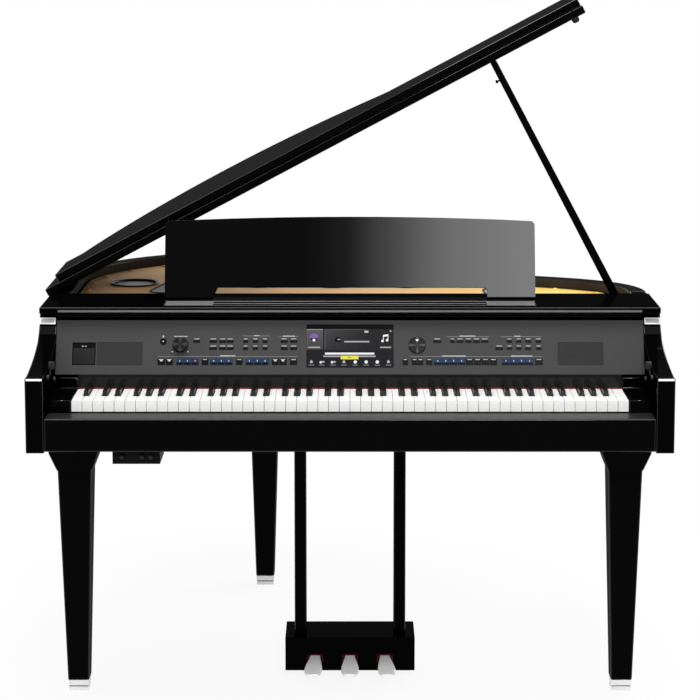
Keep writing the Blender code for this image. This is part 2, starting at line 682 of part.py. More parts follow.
def make_lid(black):
    """Lid and front leaf, flat in the lid's frame, whose X runs from the hinge up the slope."""
    hinge_z = RIM_TOP + HINGE_ABOVE_RIM
    axis = empty("lid_axis", (HINGE_X, back(LID_NEAR), hinge_z), (0, -LID_OPEN, 0))
    underside = LID_LIFT_OFF - HINGE_ABOVE_RIM
    top = underside + LID_THICKNESS
    outline = [(x - HINGE_X, y - back(LID_NEAR)) for x, y in plan_outline(-LID_OVERHANG, LID_NEAR)]
    lid = make("lid", prism(bmesh.new(), outline, "Z", underside, top), black, parent=axis, smooth=30)
    soften(lid, LID_EDGE_ROUND, 2)
    leaf_axis = empty("leaf_axis", (0, 0, top + LEAF_GAP / 2), parent=axis)
    half = TOP_BOARD_WIDTH / 2
    low = LEAF_GAP / 2
    board = box(bmesh.new(), (LEAF_INSET - half - HINGE_X, RUN, low),
                (half + LEAF_OVERHANG - HINGE_X, LEAF_DEPTH, low + LID_THICKNESS))
    leaf = make("lid_front_leaf", board, black, parent=leaf_axis)
    soften(leaf, LID_EDGE_ROUND, 2)
    return underside


def make_prop(black, metal, lid_underside):
    """Prop square to the open lid, on a pin across a two-eared bracket on the right side panel."""
    lean = LID_OPEN
    axis = empty("prop_axis", (PROP_PIVOT_X, back(PROP_DEPTH), PROP_PIVOT_Z), (0, -lean, 0))
    across = PROP_PIVOT_X - HINGE_X
    drop = PROP_PIVOT_Z - (RIM_TOP + HINGE_ABOVE_RIM)
    reach = lid_underside + across * math.sin(lean) - drop * math.cos(lean) - SEAT
    half = PROP_THICKNESS / 2
    eye = [(PROP_FOOT_HALF * math.cos(turn), PROP_FOOT_HALF * math.sin(turn))
           for turn in [math.pi * (1 + i / 8) for i in range(9)]]
    outline = eye + [(PROP_TIP_HALF, reach - 0.002), (PROP_TIP_HALF - 0.002, reach),
                     (0.002 - PROP_TIP_HALF, reach), (-PROP_TIP_HALF, reach - 0.002)]
    prop = make("lid_prop", prism(bmesh.new(), outline, "Y", -half, half), black, parent=axis)
    cut(prop, "prop_eye", prism(bmesh.new(), circle(0, 0, PROP_PIN_RADIUS + SEAT, 16), "Y", -0.02, 0.02))
    wall_x = CASE_HALF - CASE_WALL - SEAT
    foot_z = PLATE_TOP + SEAT
    ear = ((wall_x, foot_z), (wall_x, BRACKET_TOP - 0.003), (PROP_PIVOT_X + 0.012, BRACKET_TOP),
           (BRACKET_INNER_X + 0.008, BRACKET_TOP), (BRACKET_INNER_X, foot_z))
    ear_gap = half + RUN
    centre = back(PROP_DEPTH)
    bracket = make("prop_bracket", prism(bmesh.new(), ear, "Y", centre - ear_gap - BRACKET_EAR,
                                         centre - ear_gap), metal)
    others = prism(bmesh.new(), ear, "Y", centre + ear_gap, centre + ear_gap + BRACKET_EAR)
    join(bracket, "rear_ear", others)
    web_reach = ear_gap + BRACKET_EAR / 2
    join(bracket, "bracket_web", box(bmesh.new(), (wall_x - 0.006, centre - web_reach, foot_z + 0.001),
                                     (wall_x - 0.001, centre + web_reach, BRACKET_TOP - 0.005)))
    join(bracket, "prop_pin", prism(bmesh.new(), circle(PROP_PIVOT_X, PROP_PIVOT_Z, PROP_PIN_RADIUS, 16), "Y",
                                    centre - web_reach, centre + web_reach))


def desk_outline():
    """Music desk seen from the front: slot along the foot, rounded corners and an arched top."""
    half = DESK_WIDTH / 2
    slot = DESK_SLOT_WIDTH / 2
    rise = DESK_HEIGHT - DESK_CORNER_HEIGHT
    arch_radius = (half * half + rise * rise) / (2 * rise)
    slot_round = DESK_SLOT_HEIGHT / 4
    outline = [(-half, 0.0), (-slot, 0.0), (-slot + DESK_SLOT_HEIGHT / 2, DESK_SLOT_HEIGHT),
               (slot - slot_round, DESK_SLOT_HEIGHT), (slot, DESK_SLOT_HEIGHT - slot_round), (slot, 0.0),
               (half, 0.0)]
    corner_z = DESK_CORNER_HEIGHT - DESK_CORNER_RADIUS
    right_corner = [(half - DESK_CORNER_RADIUS * (1 - math.cos(turn)),
                     corner_z + DESK_CORNER_RADIUS * math.sin(turn))
                    for turn in [math.pi / 2 * i / 4 for i in range(5)]]
    edge = half - DESK_CORNER_RADIUS
    arch = []
    for i in range(1, 12):
        x = edge * (1 - i / 6)
        arch.append((x, DESK_HEIGHT - arch_radius + math.sqrt(arch_radius ** 2 - x * x)))
    left_corner = [(-x, z) for x, z in reversed(right_corner)]
    return outline + right_corner + arch + left_corner


def make_music_desk(black, metal):
    rail_half = RAIL_WIDTH / 2
    board = TOP_BOARD_TOP + SEAT
    step = (RAIL_TOP - board) / 3
    second, third = [RAIL_FRONT + run for run in RAIL_STEPS]
    profile = [(RAIL_FRONT, board), (RAIL_FRONT, board + step), (second, board + step),
               (second, board + 2 * step), (third, board + 2 * step), (third, RAIL_TOP),
               (RAIL_BACK, RAIL_TOP), (RAIL_BACK, board)]
    make("desk_rail", prism(bmesh.new(), [(back(depth), z) for depth, z in profile], "X",
                            -rail_half, rail_half), black)
    barrel = DESK_THICKNESS / 2
    axis_z = RAIL_TOP + SEAT + barrel
    axis = empty("desk_axis", (0, back(DESK_DEPTH), axis_z), (-DESK_LEAN, 0, 0))
    desk = make("music_desk", prism(bmesh.new(), desk_outline(), "Y", -barrel, barrel), black, parent=axis)
    barrels = bmesh.new()
    inner = DESK_SLOT_WIDTH / 2 + RUN
    outer = DESK_WIDTH / 2 - RUN
    for low, high in ((-outer, -inner), (inner, outer)):
        prism(barrels, circle(0, 0, barrel - SEAT, 16), "X", low, high)
    join(desk, "desk_barrels", barrels)
    pockets = bmesh.new()
    pocket_low = STAY_PIVOT_HEIGHT - 0.016
    pocket_high = STAY_PIVOT_HEIGHT + STAY_LENGTH + 0.008
    pocket_front = STAY_BEHIND - STAY_HALF - RUN
    for side in (-1, 1):
        box(pockets, (side * STAY_X - POCKET_WIDTH / 2, pocket_front, pocket_low),
            (side * STAY_X + POCKET_WIDTH / 2, barrel + 0.01, pocket_high))
    cut(desk, "stay_pockets", pockets)
    pins = bmesh.new()
    for side in (-1, 1):
        reach = POCKET_WIDTH / 2 + 0.001
        prism(pins, circle(STAY_BEHIND, STAY_PIVOT_HEIGHT, 0.0009, 8), "X",
              side * STAY_X - reach, side * STAY_X + reach)
    join(desk, "stay_pins", pins)
    pivot_z = axis_z + STAY_PIVOT_HEIGHT * math.cos(DESK_LEAN) - STAY_BEHIND * math.sin(DESK_LEAN)
    fall = pivot_z - (TOP_BOARD_TOP + SEAT + STAY_HALF)
    stay_lean = math.acos(fall / STAY_LENGTH)
    for name, side in (("left_desk_stay", -1), ("right_desk_stay", 1)):
        stay_axis = empty(name + "_axis", (side * STAY_X, STAY_BEHIND, STAY_PIVOT_HEIGHT),
                          (stay_lean + DESK_LEAN, 0, 0), parent=axis)
        outline = capsule(0, 0, 0, -STAY_LENGTH, STAY_HALF, 6)
        stay = make(name, prism(bmesh.new(), outline, "X", -STAY_WIDTH / 2, STAY_WIDTH / 2), metal,
                    parent=stay_axis)
        hole = prism(bmesh.new(), circle(0, 0, 0.0009 + SEAT, 8), "X", -STAY_WIDTH, STAY_WIDTH)
        cut(stay, name + "_hole", hole)


def square(x, y, width, z):
    half = width / 2
    corners = ((-half, -half), (half, -half), (half, half), (-half, half))
    return [(x + dx, y + dy, z) for dx, dy in corners]


def make_legs(black, silver):
    spots = (("left_front", -LEG_X, LEG_DEPTH), ("right_front", LEG_X, LEG_DEPTH),
             ("rear", REAR_LEG_X, REAR_LEG_DEPTH))
    leg_levels = ((LEG_FOOT_WIDTH, FERRULE_TOP + SEAT), (LEG_NECK_WIDTH, LEG_NECK_Z),
                  (LEG_STEP_WIDTH, LEG_STEP_Z), (LEG_HEAD_WIDTH, LEG_HEAD_Z),
                  (LEG_HEAD_WIDTH, CASE_UNDERSIDE - SEAT))
    foot_levels = ((PAD_WIDTH, 0.0), (PAD_WIDTH, PAD_TOP), (GROOVE_WIDTH, PAD_TOP),
                   (GROOVE_WIDTH, FERRULE_BOTTOM), (FERRULE_WIDTH, FERRULE_BOTTOM),
                   (FERRULE_WIDTH, FERRULE_TOP))
    for name, x, depth in spots:
        leg = loft(bmesh.new(), [square(x, back(depth), width, z) for width, z in leg_levels])
        soften(make(name + "_leg", leg, black), 0.002)
        foot = loft(bmesh.new(), [square(x, back(depth), width, z) for width, z in foot_levels])
        make(name + "_foot", foot, silver)


def pedal_box_top(depth):
    """Height of the pedal box's sloping cover at a depth."""
    share = (depth - PEDAL_BOX_FRONT) / (PEDAL_BOX_BACK - PEDAL_BOX_FRONT)
    return PEDAL_BOX_LEDGE_TOP + share * (PEDAL_BOX_CREST - PEDAL_BOX_LEDGE_TOP)


def make_lyre(black):
    """Pedal box with a hollow for the pedals, and the two posts that hang it from the case."""
    half = PEDAL_BOX_WIDTH / 2
    proud = PEDAL_BOX_LEDGE_PROUD
    shell = ((PEDAL_BOX_FRONT, PEDAL_BOX_BOTTOM), (PEDAL_BOX_FRONT, PEDAL_BOX_LEDGE_Z),
             (PEDAL_BOX_FRONT - proud, PEDAL_BOX_LEDGE_Z), (PEDAL_BOX_FRONT - proud, PEDAL_BOX_LEDGE_TOP),
             (PEDAL_BOX_BACK, PEDAL_BOX_CREST), (PEDAL_BOX_BACK, PEDAL_BOX_BOTTOM))
    body = prism(bmesh.new(), [(back(depth), z) for depth, z in shell], "X", -half, half)
    housing = make("pedal_box", body, black)
    soften(housing, 0.0015)
    wall = PEDAL_BOX_WALL
    rest_top = PEDAL_Z - PEDAL_BARREL_RADIUS - SEAT
    rail_back = PEDAL_PIVOT_DEPTH + 0.012
    hollow = ((PEDAL_BOX_FRONT + wall, PEDAL_BOX_BOTTOM + wall), (PEDAL_BOX_FRONT + wall, PEDAL_BOX_LEDGE_Z),
              (rail_back, PEDAL_BOX_LEDGE_Z), (rail_back, rest_top),
              (PEDAL_PIVOT_DEPTH - 0.008, rest_top), (PEDAL_PIVOT_DEPTH - 0.008, PEDAL_BOX_BOTTOM + wall))
    cut(housing, "pedal_hollow", prism(bmesh.new(), [(back(depth), z) for depth, z in hollow], "X",
                                       wall - half, half - wall))
    windows = bmesh.new()
    for place_x in (-1, 0, 1):
        x = place_x * PEDAL_SPACING
        box(windows, (x - PEDAL_WINDOW_WIDTH / 2, back(PEDAL_BOX_FRONT - 0.01), PEDAL_WINDOW_LOW),
            (x + PEDAL_WINDOW_WIDTH / 2, back(PEDAL_BOX_FRONT + wall + 0.005), PEDAL_WINDOW_HIGH))
    cut(housing, "pedal_windows", windows)
    for name, side in (("left_lyre_post", -1), ("right_lyre_post", 1)):
        x = side * POST_X
        rear = POST_FRONT + POST_WIDTH
        outline = [(back(POST_FRONT), pedal_box_top(POST_FRONT) + SEAT),
                   (back(rear), pedal_box_top(rear) + SEAT),
                   (back(rear), BOARD_UNDERSIDE - SEAT), (back(POST_FRONT), BOARD_UNDERSIDE - SEAT)]
        post = prism(bmesh.new(), outline, "X", x - POST_WIDTH / 2, x + POST_WIDTH / 2)
        soften(make(name, post, black), 0.0015)


def make_pedals(chrome):
    """Each pedal is a lever on a barrel, with a foot that widens and dips. The outer ones flare."""
    stem = PEDAL_STEM_WIDTH / 2
    foot = PEDAL_FOOT_WIDTH / 2
    reach = PEDAL_STEM_END - PEDAL_TIP
    # along the foot: shares of its length, its dip, its widening and its outward flare
    shape = ((0.20, 0.02, 0.16, 0.10), (0.43, 0.12, 0.53, 0.35), (0.65, 0.35, 0.90, 0.70),
             (0.84, 0.65, 1.00, 0.95), (0.95, 0.88, 0.74, 1.00), (1.00, 1.00, 0.11, 1.00))
    stations = [(PEDAL_PIVOT_DEPTH, 0.0, stem, 0.0), (PEDAL_STEM_END, 0.0, stem, 0.0)]
    stations += [(PEDAL_STEM_END - run * reach, dip * PEDAL_DIP, stem + widening * (foot - stem), flare)
                 for run, dip, widening, flare in shape]
    for name, place_x in (("soft_pedal", -1), ("middle_pedal", 0), ("damper_pedal", 1)):
        sections = []
        for depth, drop, half_width, share in stations:
            x = place_x * (PEDAL_SPACING + PEDAL_FLARE * share)
            z = PEDAL_Z - drop
            low = z - PEDAL_THICKNESS / 2
            high = z + PEDAL_THICKNESS / 2
            y = back(depth)
            crown = half_width * 0.72
            sections.append([(x - half_width, y, low + 0.002), (x - crown, y, low), (x + crown, y, low),
                             (x + half_width, y, low + 0.002), (x + half_width, y, high - 0.002),
                             (x + crown, y, high), (x - crown, y, high), (x - half_width, y, high - 0.002)])
        middle = place_x * PEDAL_SPACING
        pivot = (middle, back(PEDAL_PIVOT_DEPTH), PEDAL_Z)
        pedal = make(name, loft(bmesh.new(), sections), chrome, pivot=pivot, smooth=40)
        barrel = prism(bmesh.new(), circle(back(PEDAL_PIVOT_DEPTH), PEDAL_Z, PEDAL_BARREL_RADIUS, 14), "X",
                       middle - stem - 0.003, middle + stem + 0.003)
        join(pedal, name + "_barrel", barrel)


def make_jack_box(black):
    low_x, high_x = JACK_BOX_X
    front, rear = JACK_BOX_DEPTH
    case = make("jack_box", box(bmesh.new(), (low_x, back(front), JACK_BOX_BOTTOM),
                                (high_x, back(rear), BOARD_UNDERSIDE - SEAT)), black)
    middle = (JACK_BOX_BOTTOM + BOARD_UNDERSIDE) / 2
    collars = bmesh.new()
    for x in JACK_SPOTS:
        prism(collars, circle(x, middle, JACK_RADIUS, 14), "Y", back(front - 0.008), back(front + 0.004))
    join(case, "jack_collars", collars)


def make_inner_parts(green, steel):
    floor = BOARD_UNDERSIDE + BOARD_THICKNESS + SEAT
    width, length, thickness = MAIN_BOARD_SIZE
    x, depth = MAIN_BOARD_SPOT
    standoff = 0.010
    plate_low = floor + standoff
    plate = box(bmesh.new(), (x - width / 2, back(depth) - length / 2, plate_low),
                (x + width / 2, back(depth) + length / 2, plate_low + thickness))
    board = make("main_board", plate, green)
    details = bmesh.new()
    for side_x in (-1, 1):
        for side_y in (-1, 1):
            foot_x = x + side_x * (width / 2 - 0.010)
            foot_y = back(depth) + side_y * (length / 2 - 0.010)
            prism(details, circle(foot_x, foot_y, 0.004, 10), "Z", floor, plate_low + thickness / 2)
    chip_low = floor + standoff + thickness / 2
    box(details, (x - 0.05, back(depth) - 0.04, chip_low), (x - 0.01, back(depth), chip_low + 0.004))
    box(details, (x + 0.03, back(depth) - 0.05, chip_low), (x + 0.05, back(depth) - 0.03, chip_low + 0.003))
    box(details, (x - 0.10, back(depth) + 0.06, chip_low), (x + 0.08, back(depth) + 0.075, chip_low + 0.011))
    join(board, "board_details", details)
    width, length, height = POWER_UNIT_SIZE
    x, depth = POWER_UNIT_SPOT
    unit = make("power_unit", box(bmesh.new(), (x - width / 2, back(depth) - length / 2, floor),
                                  (x + width / 2, back(depth) + length / 2, floor + height)), steel)
    soften(unit, 0.002)


def build():
    for old in list(bpy.data.objects):
        bpy.data.objects.remove(old, do_unlink=True)
    black = material("polished_ebony", (0.010, 0.010, 0.011), 0.06)
    grey = material("panel_grey", (0.075, 0.077, 0.080), 0.45)
    dark = material("speaker_black", (0.020, 0.020, 0.022), 0.7)
    cloth = material("screen_cloth", (0.16, 0.17, 0.21), 0.9)
    gold = material("frame_gold", (0.62, 0.38, 0.13), 0.35, 0.6)
    ivory = material("white_key", (0.86, 0.86, 0.84), 0.25)
    ebony = material("black_key", (0.012, 0.012, 0.013), 0.3)
    wood = material("key_frame_wood", (0.42, 0.30, 0.18), 0.7)
    glass = material("display_glass", (0.02, 0.02, 0.03), 0.08)
    silver = material("satin_silver", (0.70, 0.70, 0.71), 0.3, 1.0)
    chrome = material("pedal_chrome", (0.80, 0.80, 0.80), 0.1, 1.0)
    steel = material("zinc_steel", (0.55, 0.56, 0.57), 0.4, 1.0)
    green = material("circuit_green", (0.03, 0.16, 0.07), 0.5)
    make_case(black, cloth)
    make_frame_plate(gold)
    make_woofers(dark)
    make_keys(ivory, ebony, wood)
    make_fallboard_strip(black)
    make_control_panel(grey, dark, glass, silver)
    make_key_cover(black)
    lid_underside = make_lid(black)
    make_prop(black, steel, lid_underside)
    make_music_desk(black, steel)
    make_legs(black, silver)
    make_lyre(black)
    make_pedals(chrome)
    make_jack_box(dark)
    make_inner_parts(green, steel)


build()
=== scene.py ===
"""Digital grand piano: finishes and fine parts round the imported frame, in a plain studio."""

import json
import math

import bmesh
import bpy
from bpy.props import FloatProperty, FloatVectorProperty, PointerProperty
from mathutils import Matrix, Vector
from mathutils.bvhtree import BVHTree


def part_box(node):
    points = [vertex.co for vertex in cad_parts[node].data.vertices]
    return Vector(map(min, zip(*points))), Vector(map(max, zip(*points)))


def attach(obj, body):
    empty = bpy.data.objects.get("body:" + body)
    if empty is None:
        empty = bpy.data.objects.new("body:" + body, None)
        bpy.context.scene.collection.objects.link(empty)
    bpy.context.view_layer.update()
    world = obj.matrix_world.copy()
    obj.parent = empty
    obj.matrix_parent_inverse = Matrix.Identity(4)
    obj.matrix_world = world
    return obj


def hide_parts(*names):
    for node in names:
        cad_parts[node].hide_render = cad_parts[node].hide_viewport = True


bl_info = {
    "name": "Digital Grand Piano",
    "version": (1, 0, 0),
    "blender": (4, 5, 0),
    "location": "View3D > Sidebar > Piano",
    "description": "Finishes a digital grand piano and sets it in a plain studio",
    "category": "Object",
}

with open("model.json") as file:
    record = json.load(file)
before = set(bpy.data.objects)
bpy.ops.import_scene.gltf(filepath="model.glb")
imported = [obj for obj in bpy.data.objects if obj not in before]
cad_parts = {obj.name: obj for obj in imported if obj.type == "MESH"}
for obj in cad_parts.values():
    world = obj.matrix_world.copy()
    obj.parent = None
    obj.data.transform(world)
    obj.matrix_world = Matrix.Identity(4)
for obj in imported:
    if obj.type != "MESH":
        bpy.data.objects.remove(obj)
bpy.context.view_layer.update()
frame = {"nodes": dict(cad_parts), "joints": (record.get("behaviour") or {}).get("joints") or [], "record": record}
NODES = frame["nodes"]
JOINTS = {joint["name"]: joint for joint in frame["joints"]}
HAIR = 0.0001                 # lifts a printed mark clear of its surface


class Value:
    """A socket's value in an expression. Sums and products of it add the nodes that they need."""

    def __init__(self, graph, socket):
        self.graph = graph
        self.socket = socket

    def maths(self, operation, *others):
        return self.graph.add("Math", {"operation": operation}, self, *others)

    def __add__(self, other):
        return self.maths("ADD", other)

    __radd__ = __add__

    def __mul__(self, other):
        return self.maths("MULTIPLY", other)

    __rmul__ = __mul__

    def __sub__(self, other):
        return self.maths("SUBTRACT", other)

    def __rsub__(self, other):
        return self.graph.add("Math", {"operation": "SUBTRACT"}, other, self)

    def __truediv__(self, other):
        return self.maths("DIVIDE", other)

    def above(self, level):
        return self.maths("GREATER_THAN", level)

    def below(self, level):
        return self.maths("LESS_THAN", level)

    def absolute(self):
        return self.maths("ABSOLUTE")

    def sine(self):
        return self.maths("SINE")

    def wrapped(self, span):
        return self.maths("WRAP", span, 0.0)


class Graph:
    """Adds nodes to a shader or geometry tree, and links the values that they are given."""

    def __init__(self, tree, prefix="ShaderNode"):
        self.tree = tree
        self.prefix = prefix

    def add(self, kind, settings=None, *values, output=0, **named):
        whole = kind.startswith(("ShaderNode", "GeometryNode", "FunctionNode", "NodeGroup"))
        whole_name = kind if whole else self.prefix + kind
        node = self.tree.nodes.new(whole_name)
        for name, setting in (settings or {}).items():
            if name == "stops":
                self.set_stops(node.color_ramp, setting)
            else:
                setattr(node, name, setting)
        for index, value in enumerate(values):
            self.feed(node.inputs[index], value)
        for name, value in named.items():
            self.feed(node.inputs[name.replace("_", " ")], value)
        return Value(self, node.outputs[output]) if node.outputs else node

    def outputs(self, value, name):
        """Another output of the node behind a value."""
        return Value(self, value.socket.node.outputs[name])

    def feed(self, socket, value):
        if isinstance(value, Value):
            self.tree.links.new(value.socket, socket)
        elif value is not None:
            socket.default_value = value

    def set_stops(self, ramp, stops):
        while len(ramp.elements) < len(stops):
            ramp.elements.new(1.0)
        for element, (position, colour) in zip(ramp.elements, stops):
            element.position = position
            element.color = rgba(colour)

    def mix(self, factor, first, second):
        made = self.add("Mix", {"data_type": "RGBA"})
        node = made.socket.node
        self.feed(node.inputs[0], factor)
        self.feed(node.inputs[6], first if isinstance(first, Value) else rgba(first))
        self.feed(node.inputs[7], second if isinstance(second, Value) else rgba(second))
        return Value(self, node.outputs[2])

    def ramp(self, value, *stops):
        return self.add("ValToRGB", {"stops": stops}, value)

    def finish_with(self, value):
        """Ends a geometry tree."""
        node = self.tree.nodes.new("NodeGroupOutput")
        self.tree.links.new(value.socket, node.inputs[0])


def rgba(colour):
    return (*colour, 1.0) if len(colour) == 3 else tuple(colour)


class Finish(Graph):
    """A material under construction, with the coordinates and noises that most finishes use."""

    def __init__(self, name):
        self.material = bpy.data.materials.new(name)
        self.material.use_nodes = True
        super().__init__(self.material.node_tree)
        self.tree.nodes.clear()

    def place(self, scale=(1, 1, 1), at=(0, 0, 0), turn=(0, 0, 0)):
        spot = self.outputs(self.add("TexCoord"), "Object")
        return self.add("Mapping", {"vector_type": "TEXTURE"}, spot, at, turn, scale)

    def axes(self, place):
        split = self.add("SeparateXYZ", None, place)
        return [self.outputs(split, axis) for axis in "XYZ"]

    def noise(self, scale, detail=3.0, place=None):
        return self.add("TexNoise", None, Vector=place or self.place(), Scale=scale, Detail=detail)

    def bump(self, height, strength, distance):
        return self.add("Bump", None, Height=height, Strength=strength, Distance=distance)

    def close(self, colour, roughness, metallic=0.0, normal=None, **sockets):
        shader = self.add("BsdfPrincipled")
        inputs = shader.socket.node.inputs
        self.feed(inputs["Base Color"], colour if isinstance(colour, Value) else rgba(colour))
        self.feed(inputs["Roughness"], roughness)
        self.feed(inputs["Metallic"], metallic)
        self.feed(inputs["Normal"], normal)
        for name, value in sockets.items():
            self.feed(inputs[name.replace("_", " ")], value)
        self.add("OutputMaterial", None, Surface=shader)
        return self.material


def colours():
    return bpy.context.scene.piano_colours


def sizes():
    return bpy.context.scene.piano_sizes


def lacquer(name, share=None, colour=None):
    """Black polyester lacquer: deep black with a thin share of hard gloss, a faint ripple and a little dust."""
    finish = Finish(name)
    colour = colour or colours().lacquer
    ripple = finish.noise(14.0, 2.0)
    dust = finish.noise(420.0, 2.0)
    tone = finish.mix(dust, [c * 0.8 for c in colour], [c * 1.3 for c in colour])
    depth = finish.add("BsdfPrincipled", None, tone, Roughness=0.5, Specular_IOR_Level=0.0)
    shine = finish.add("BsdfPrincipled", None, tone, Roughness=0.03 + dust * 0.02,
                       Normal=finish.bump(ripple, 0.012, 0.002))
    both = finish.add("MixShader", None, share or sizes().gloss, depth, shine)
    finish.add("OutputMaterial", None, Surface=both)
    return finish.material


def satin(name, colour, roughness=0.42, grain=900.0, gloss=0.08):
    """Moulded plastic with a fine spark-eroded grain."""
    finish = Finish(name)
    speckle = finish.noise(grain, 2.0)
    cloud = finish.noise(9.0)
    tone = finish.mix(cloud, [c * 0.94 for c in colour], [c * 1.06 for c in colour])
    return finish.close(tone, roughness - 0.05 + speckle * 0.1, normal=finish.bump(speckle, 0.25, 0.0002),
                        Specular_IOR_Level=gloss)


def brushed(name, colour, roughness, stretch=(0.004, 0.2, 0.2)):
    """Metal with fine lines across it."""
    finish = Finish(name)
    lines = finish.noise(1.6, 4.0, finish.place(scale=stretch))
    tone = finish.mix(lines, [c * 0.88 for c in colour], colour)
    return finish.close(tone, roughness * 0.8 + lines * roughness * 0.4, metallic=1.0,
                        normal=finish.bump(lines, 0.08, 0.0002))


def key_plastic(name, colour, roughness, grain, gloss=0.5):
    """Key covering, with a faint grain that runs along the key."""
    finish = Finish(name)
    grain_lines = finish.noise(3.0, 3.0, finish.place(scale=(0.002, 0.03, 0.01)))
    tone = finish.mix(grain_lines, [c * 0.965 for c in colour], colour)
    return finish.close(tone, roughness + grain_lines * 0.08, normal=finish.bump(grain_lines, grain, 0.0002),
                        Specular_IOR_Level=gloss)


def felt(name, colour):
    finish = Finish(name)
    fuzz = finish.noise(1400.0, 4.0)
    tone = finish.mix(fuzz, [c * 0.6 for c in colour], [min(1.0, c * 1.25) for c in colour])
    return finish.close(tone, 0.95, normal=finish.bump(fuzz, 0.6, 0.0006), Specular_IOR_Level=0.2)


def cloth(name, colour):
    """Loosely woven loudspeaker cloth."""
    finish = Finish(name)
    x, y, _ = finish.axes(finish.place(scale=(0.0022, 0.0022, 0.0022)))
    weave = (x * math.pi).sine() * (y * math.pi).sine()
    tone = finish.mix(weave.absolute(), [c * 0.55 for c in colour], colour)
    return finish.close(tone, 0.55, normal=finish.bump(weave, 0.15, 0.0002), Sheen_Weight=0.5)


def wood(name, colour):
    finish = Finish(name)
    grain = finish.noise(2.4, 5.0, finish.place(scale=(0.5, 0.03, 0.03)))
    tone = finish.mix(grain, [c * 0.7 for c in colour], colour)
    return finish.close(tone, 0.6 + grain * 0.1, normal=finish.bump(grain, 0.1, 0.0004), Specular_IOR_Level=0.1)


def gold_paint(name):
    """Gold lacquer on the frame plate, darker and more orange towards the bass side, where the lid shades it, and
    yellow towards the treble side: painted shade and light across one gold.
    """
    finish = Finish(name)
    x, _, _ = finish.axes(finish.place())
    grain = finish.noise(700.0, 2.0)
    # Painted shade and light: the ramp grades one gold from the shaded bass side to the lit treble side.
    painted_light_grade = finish.ramp(x * 0.75 + 0.5, (0.0, colours().plate_bass), (0.55, colours().plate_tenor),
                         (1.0, colours().plate_treble))
    tone = finish.mix(grain * 0.5, painted_light_grade, colours().plate_bass)
    return finish.close(tone, 0.4 + grain * 0.15, metallic=0.15, normal=finish.bump(grain, 0.15, 0.0003),
                        Specular_IOR_Level=0.15)


def glow(name, attribute, strength):
    """Lit screen or button whose colour is read from the mesh."""
    finish = Finish(name)
    tint = finish.add("Attribute", {"attribute_name": attribute})
    return finish.close((0.002, 0.002, 0.002), 0.15, Emission_Color=tint, Emission_Strength=strength,
                        Specular_IOR_Level=0.04)


def plain_glow(name, colour, strength):
    finish = Finish(name)
    speckle = finish.noise(300.0, 1.0)
    tone = finish.mix(speckle, [c * 0.75 for c in colour], colour)
    return finish.close((0.004, 0.004, 0.004), 0.35, Emission_Color=tone, Emission_Strength=strength,
                        Specular_IOR_Level=0.05)


def sector_disc(name, joint, dark, light, sectors, share):
    """Turned or pressed disc with lighter sectors round its centre, seen on its leaning face. On the dial the lighter
    sectors are a painted sheen.
    """
    finish = Finish(name)
    spot = Vector(JOINTS["volume_turn"]["pos_m"]) if joint == "volume_turn" else box_middle("four_way_pad")
    x, y, _ = finish.axes(finish.place(at=spot, turn=(math.pi / 2 - PANEL_LEAN, 0, 0)))
    angle = finish.add("Math", {"operation": "ARCTAN2"}, y, x)
    wave = ((angle + math.pi / 4) * sectors / 2).sine().absolute()
    band = finish.ramp(wave, (0.0, dark), (1.0 - share, dark), (1.0, light))
    return finish.close(band, 0.3, Specular_IOR_Level=0.1)


def box_middle(node):
    low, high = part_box(node)
    return (low + high) / 2


INTO_PANEL = Vector(JOINTS["volume_turn"]["axis"])
PANEL_LEAN = math.atan2(-INTO_PANEL.z, INTO_PANEL.y)
PANEL_LOW, PANEL_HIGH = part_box("control_panel")
PANEL = Matrix.Translation((0, PANEL_LOW.y, PANEL_LOW.z)) @ Matrix.Rotation(math.pi / 2 - PANEL_LEAN, 4, "X")


def piece(name, bm, material, body, matrix=None, smooth=None):
    """A new piece from a mesh in its own frame, put in place in its vertices."""
    bmesh.ops.recalc_face_normals(bm, faces=bm.faces)
    if matrix:
        bm.transform(matrix)
    mesh = bpy.data.meshes.new(name)
    bm.to_mesh(mesh)
    bm.free()
    return adopt(name, mesh, material, body, smooth)


def adopt(name, mesh, material, body, smooth=None):
    if material:
        mesh.materials.clear()
        mesh.materials.append(material)
    if smooth:
        mesh.shade_smooth()
        mesh.set_sharp_from_angle(angle=math.radians(smooth))
    made = bpy.data.objects.new(name, mesh)
    bpy.context.scene.collection.objects.link(made)
    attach(made, body)
    return made


def block(bm, low, high, edge=0.0):
    """A box between two corners, with its edges rounded off."""
    low = Vector(low)
    high = Vector(high)
    made = bmesh.ops.create_cube(bm, size=1.0, matrix=Matrix.LocRotScale((low + high) / 2, None, high - low))
    if edge:
        edges = list({link for vert in made["verts"] for link in vert.link_edges})
        bmesh.ops.bevel(bm, geom=edges, offset=edge, segments=2, affect="EDGES", profile=0.5)
    return bm


def turned(bm, profile, sides=32, matrix=Matrix.Identity(4)):
    """A solid turned about Z from (radius, height) pairs, closed at the axis."""
    rings = []
    for radius, height in profile:
        if radius == 0:
            rings.append([bm.verts.new(matrix @ Vector((0, 0, height)))])
            continue
        rings.append([bm.verts.new(matrix @ Vector((radius * math.cos(2 * math.pi * i / sides),
                                                    radius * math.sin(2 * math.pi * i / sides), height)))
                      for i in range(sides)])
    for ring, following in zip(rings, rings[1:]):
        for i in range(sides):
            j = (i + 1) % sides
            corners = [ring[i % len(ring)], ring[j % len(ring)], following[j % len(following)],
                       following[i % len(following)]]
            bm.faces.new(list(dict.fromkeys(corners)))
    for end in (rings[0], rings[-1]):
        if len(end) > 1:
            bm.faces.new(end)
    return bm


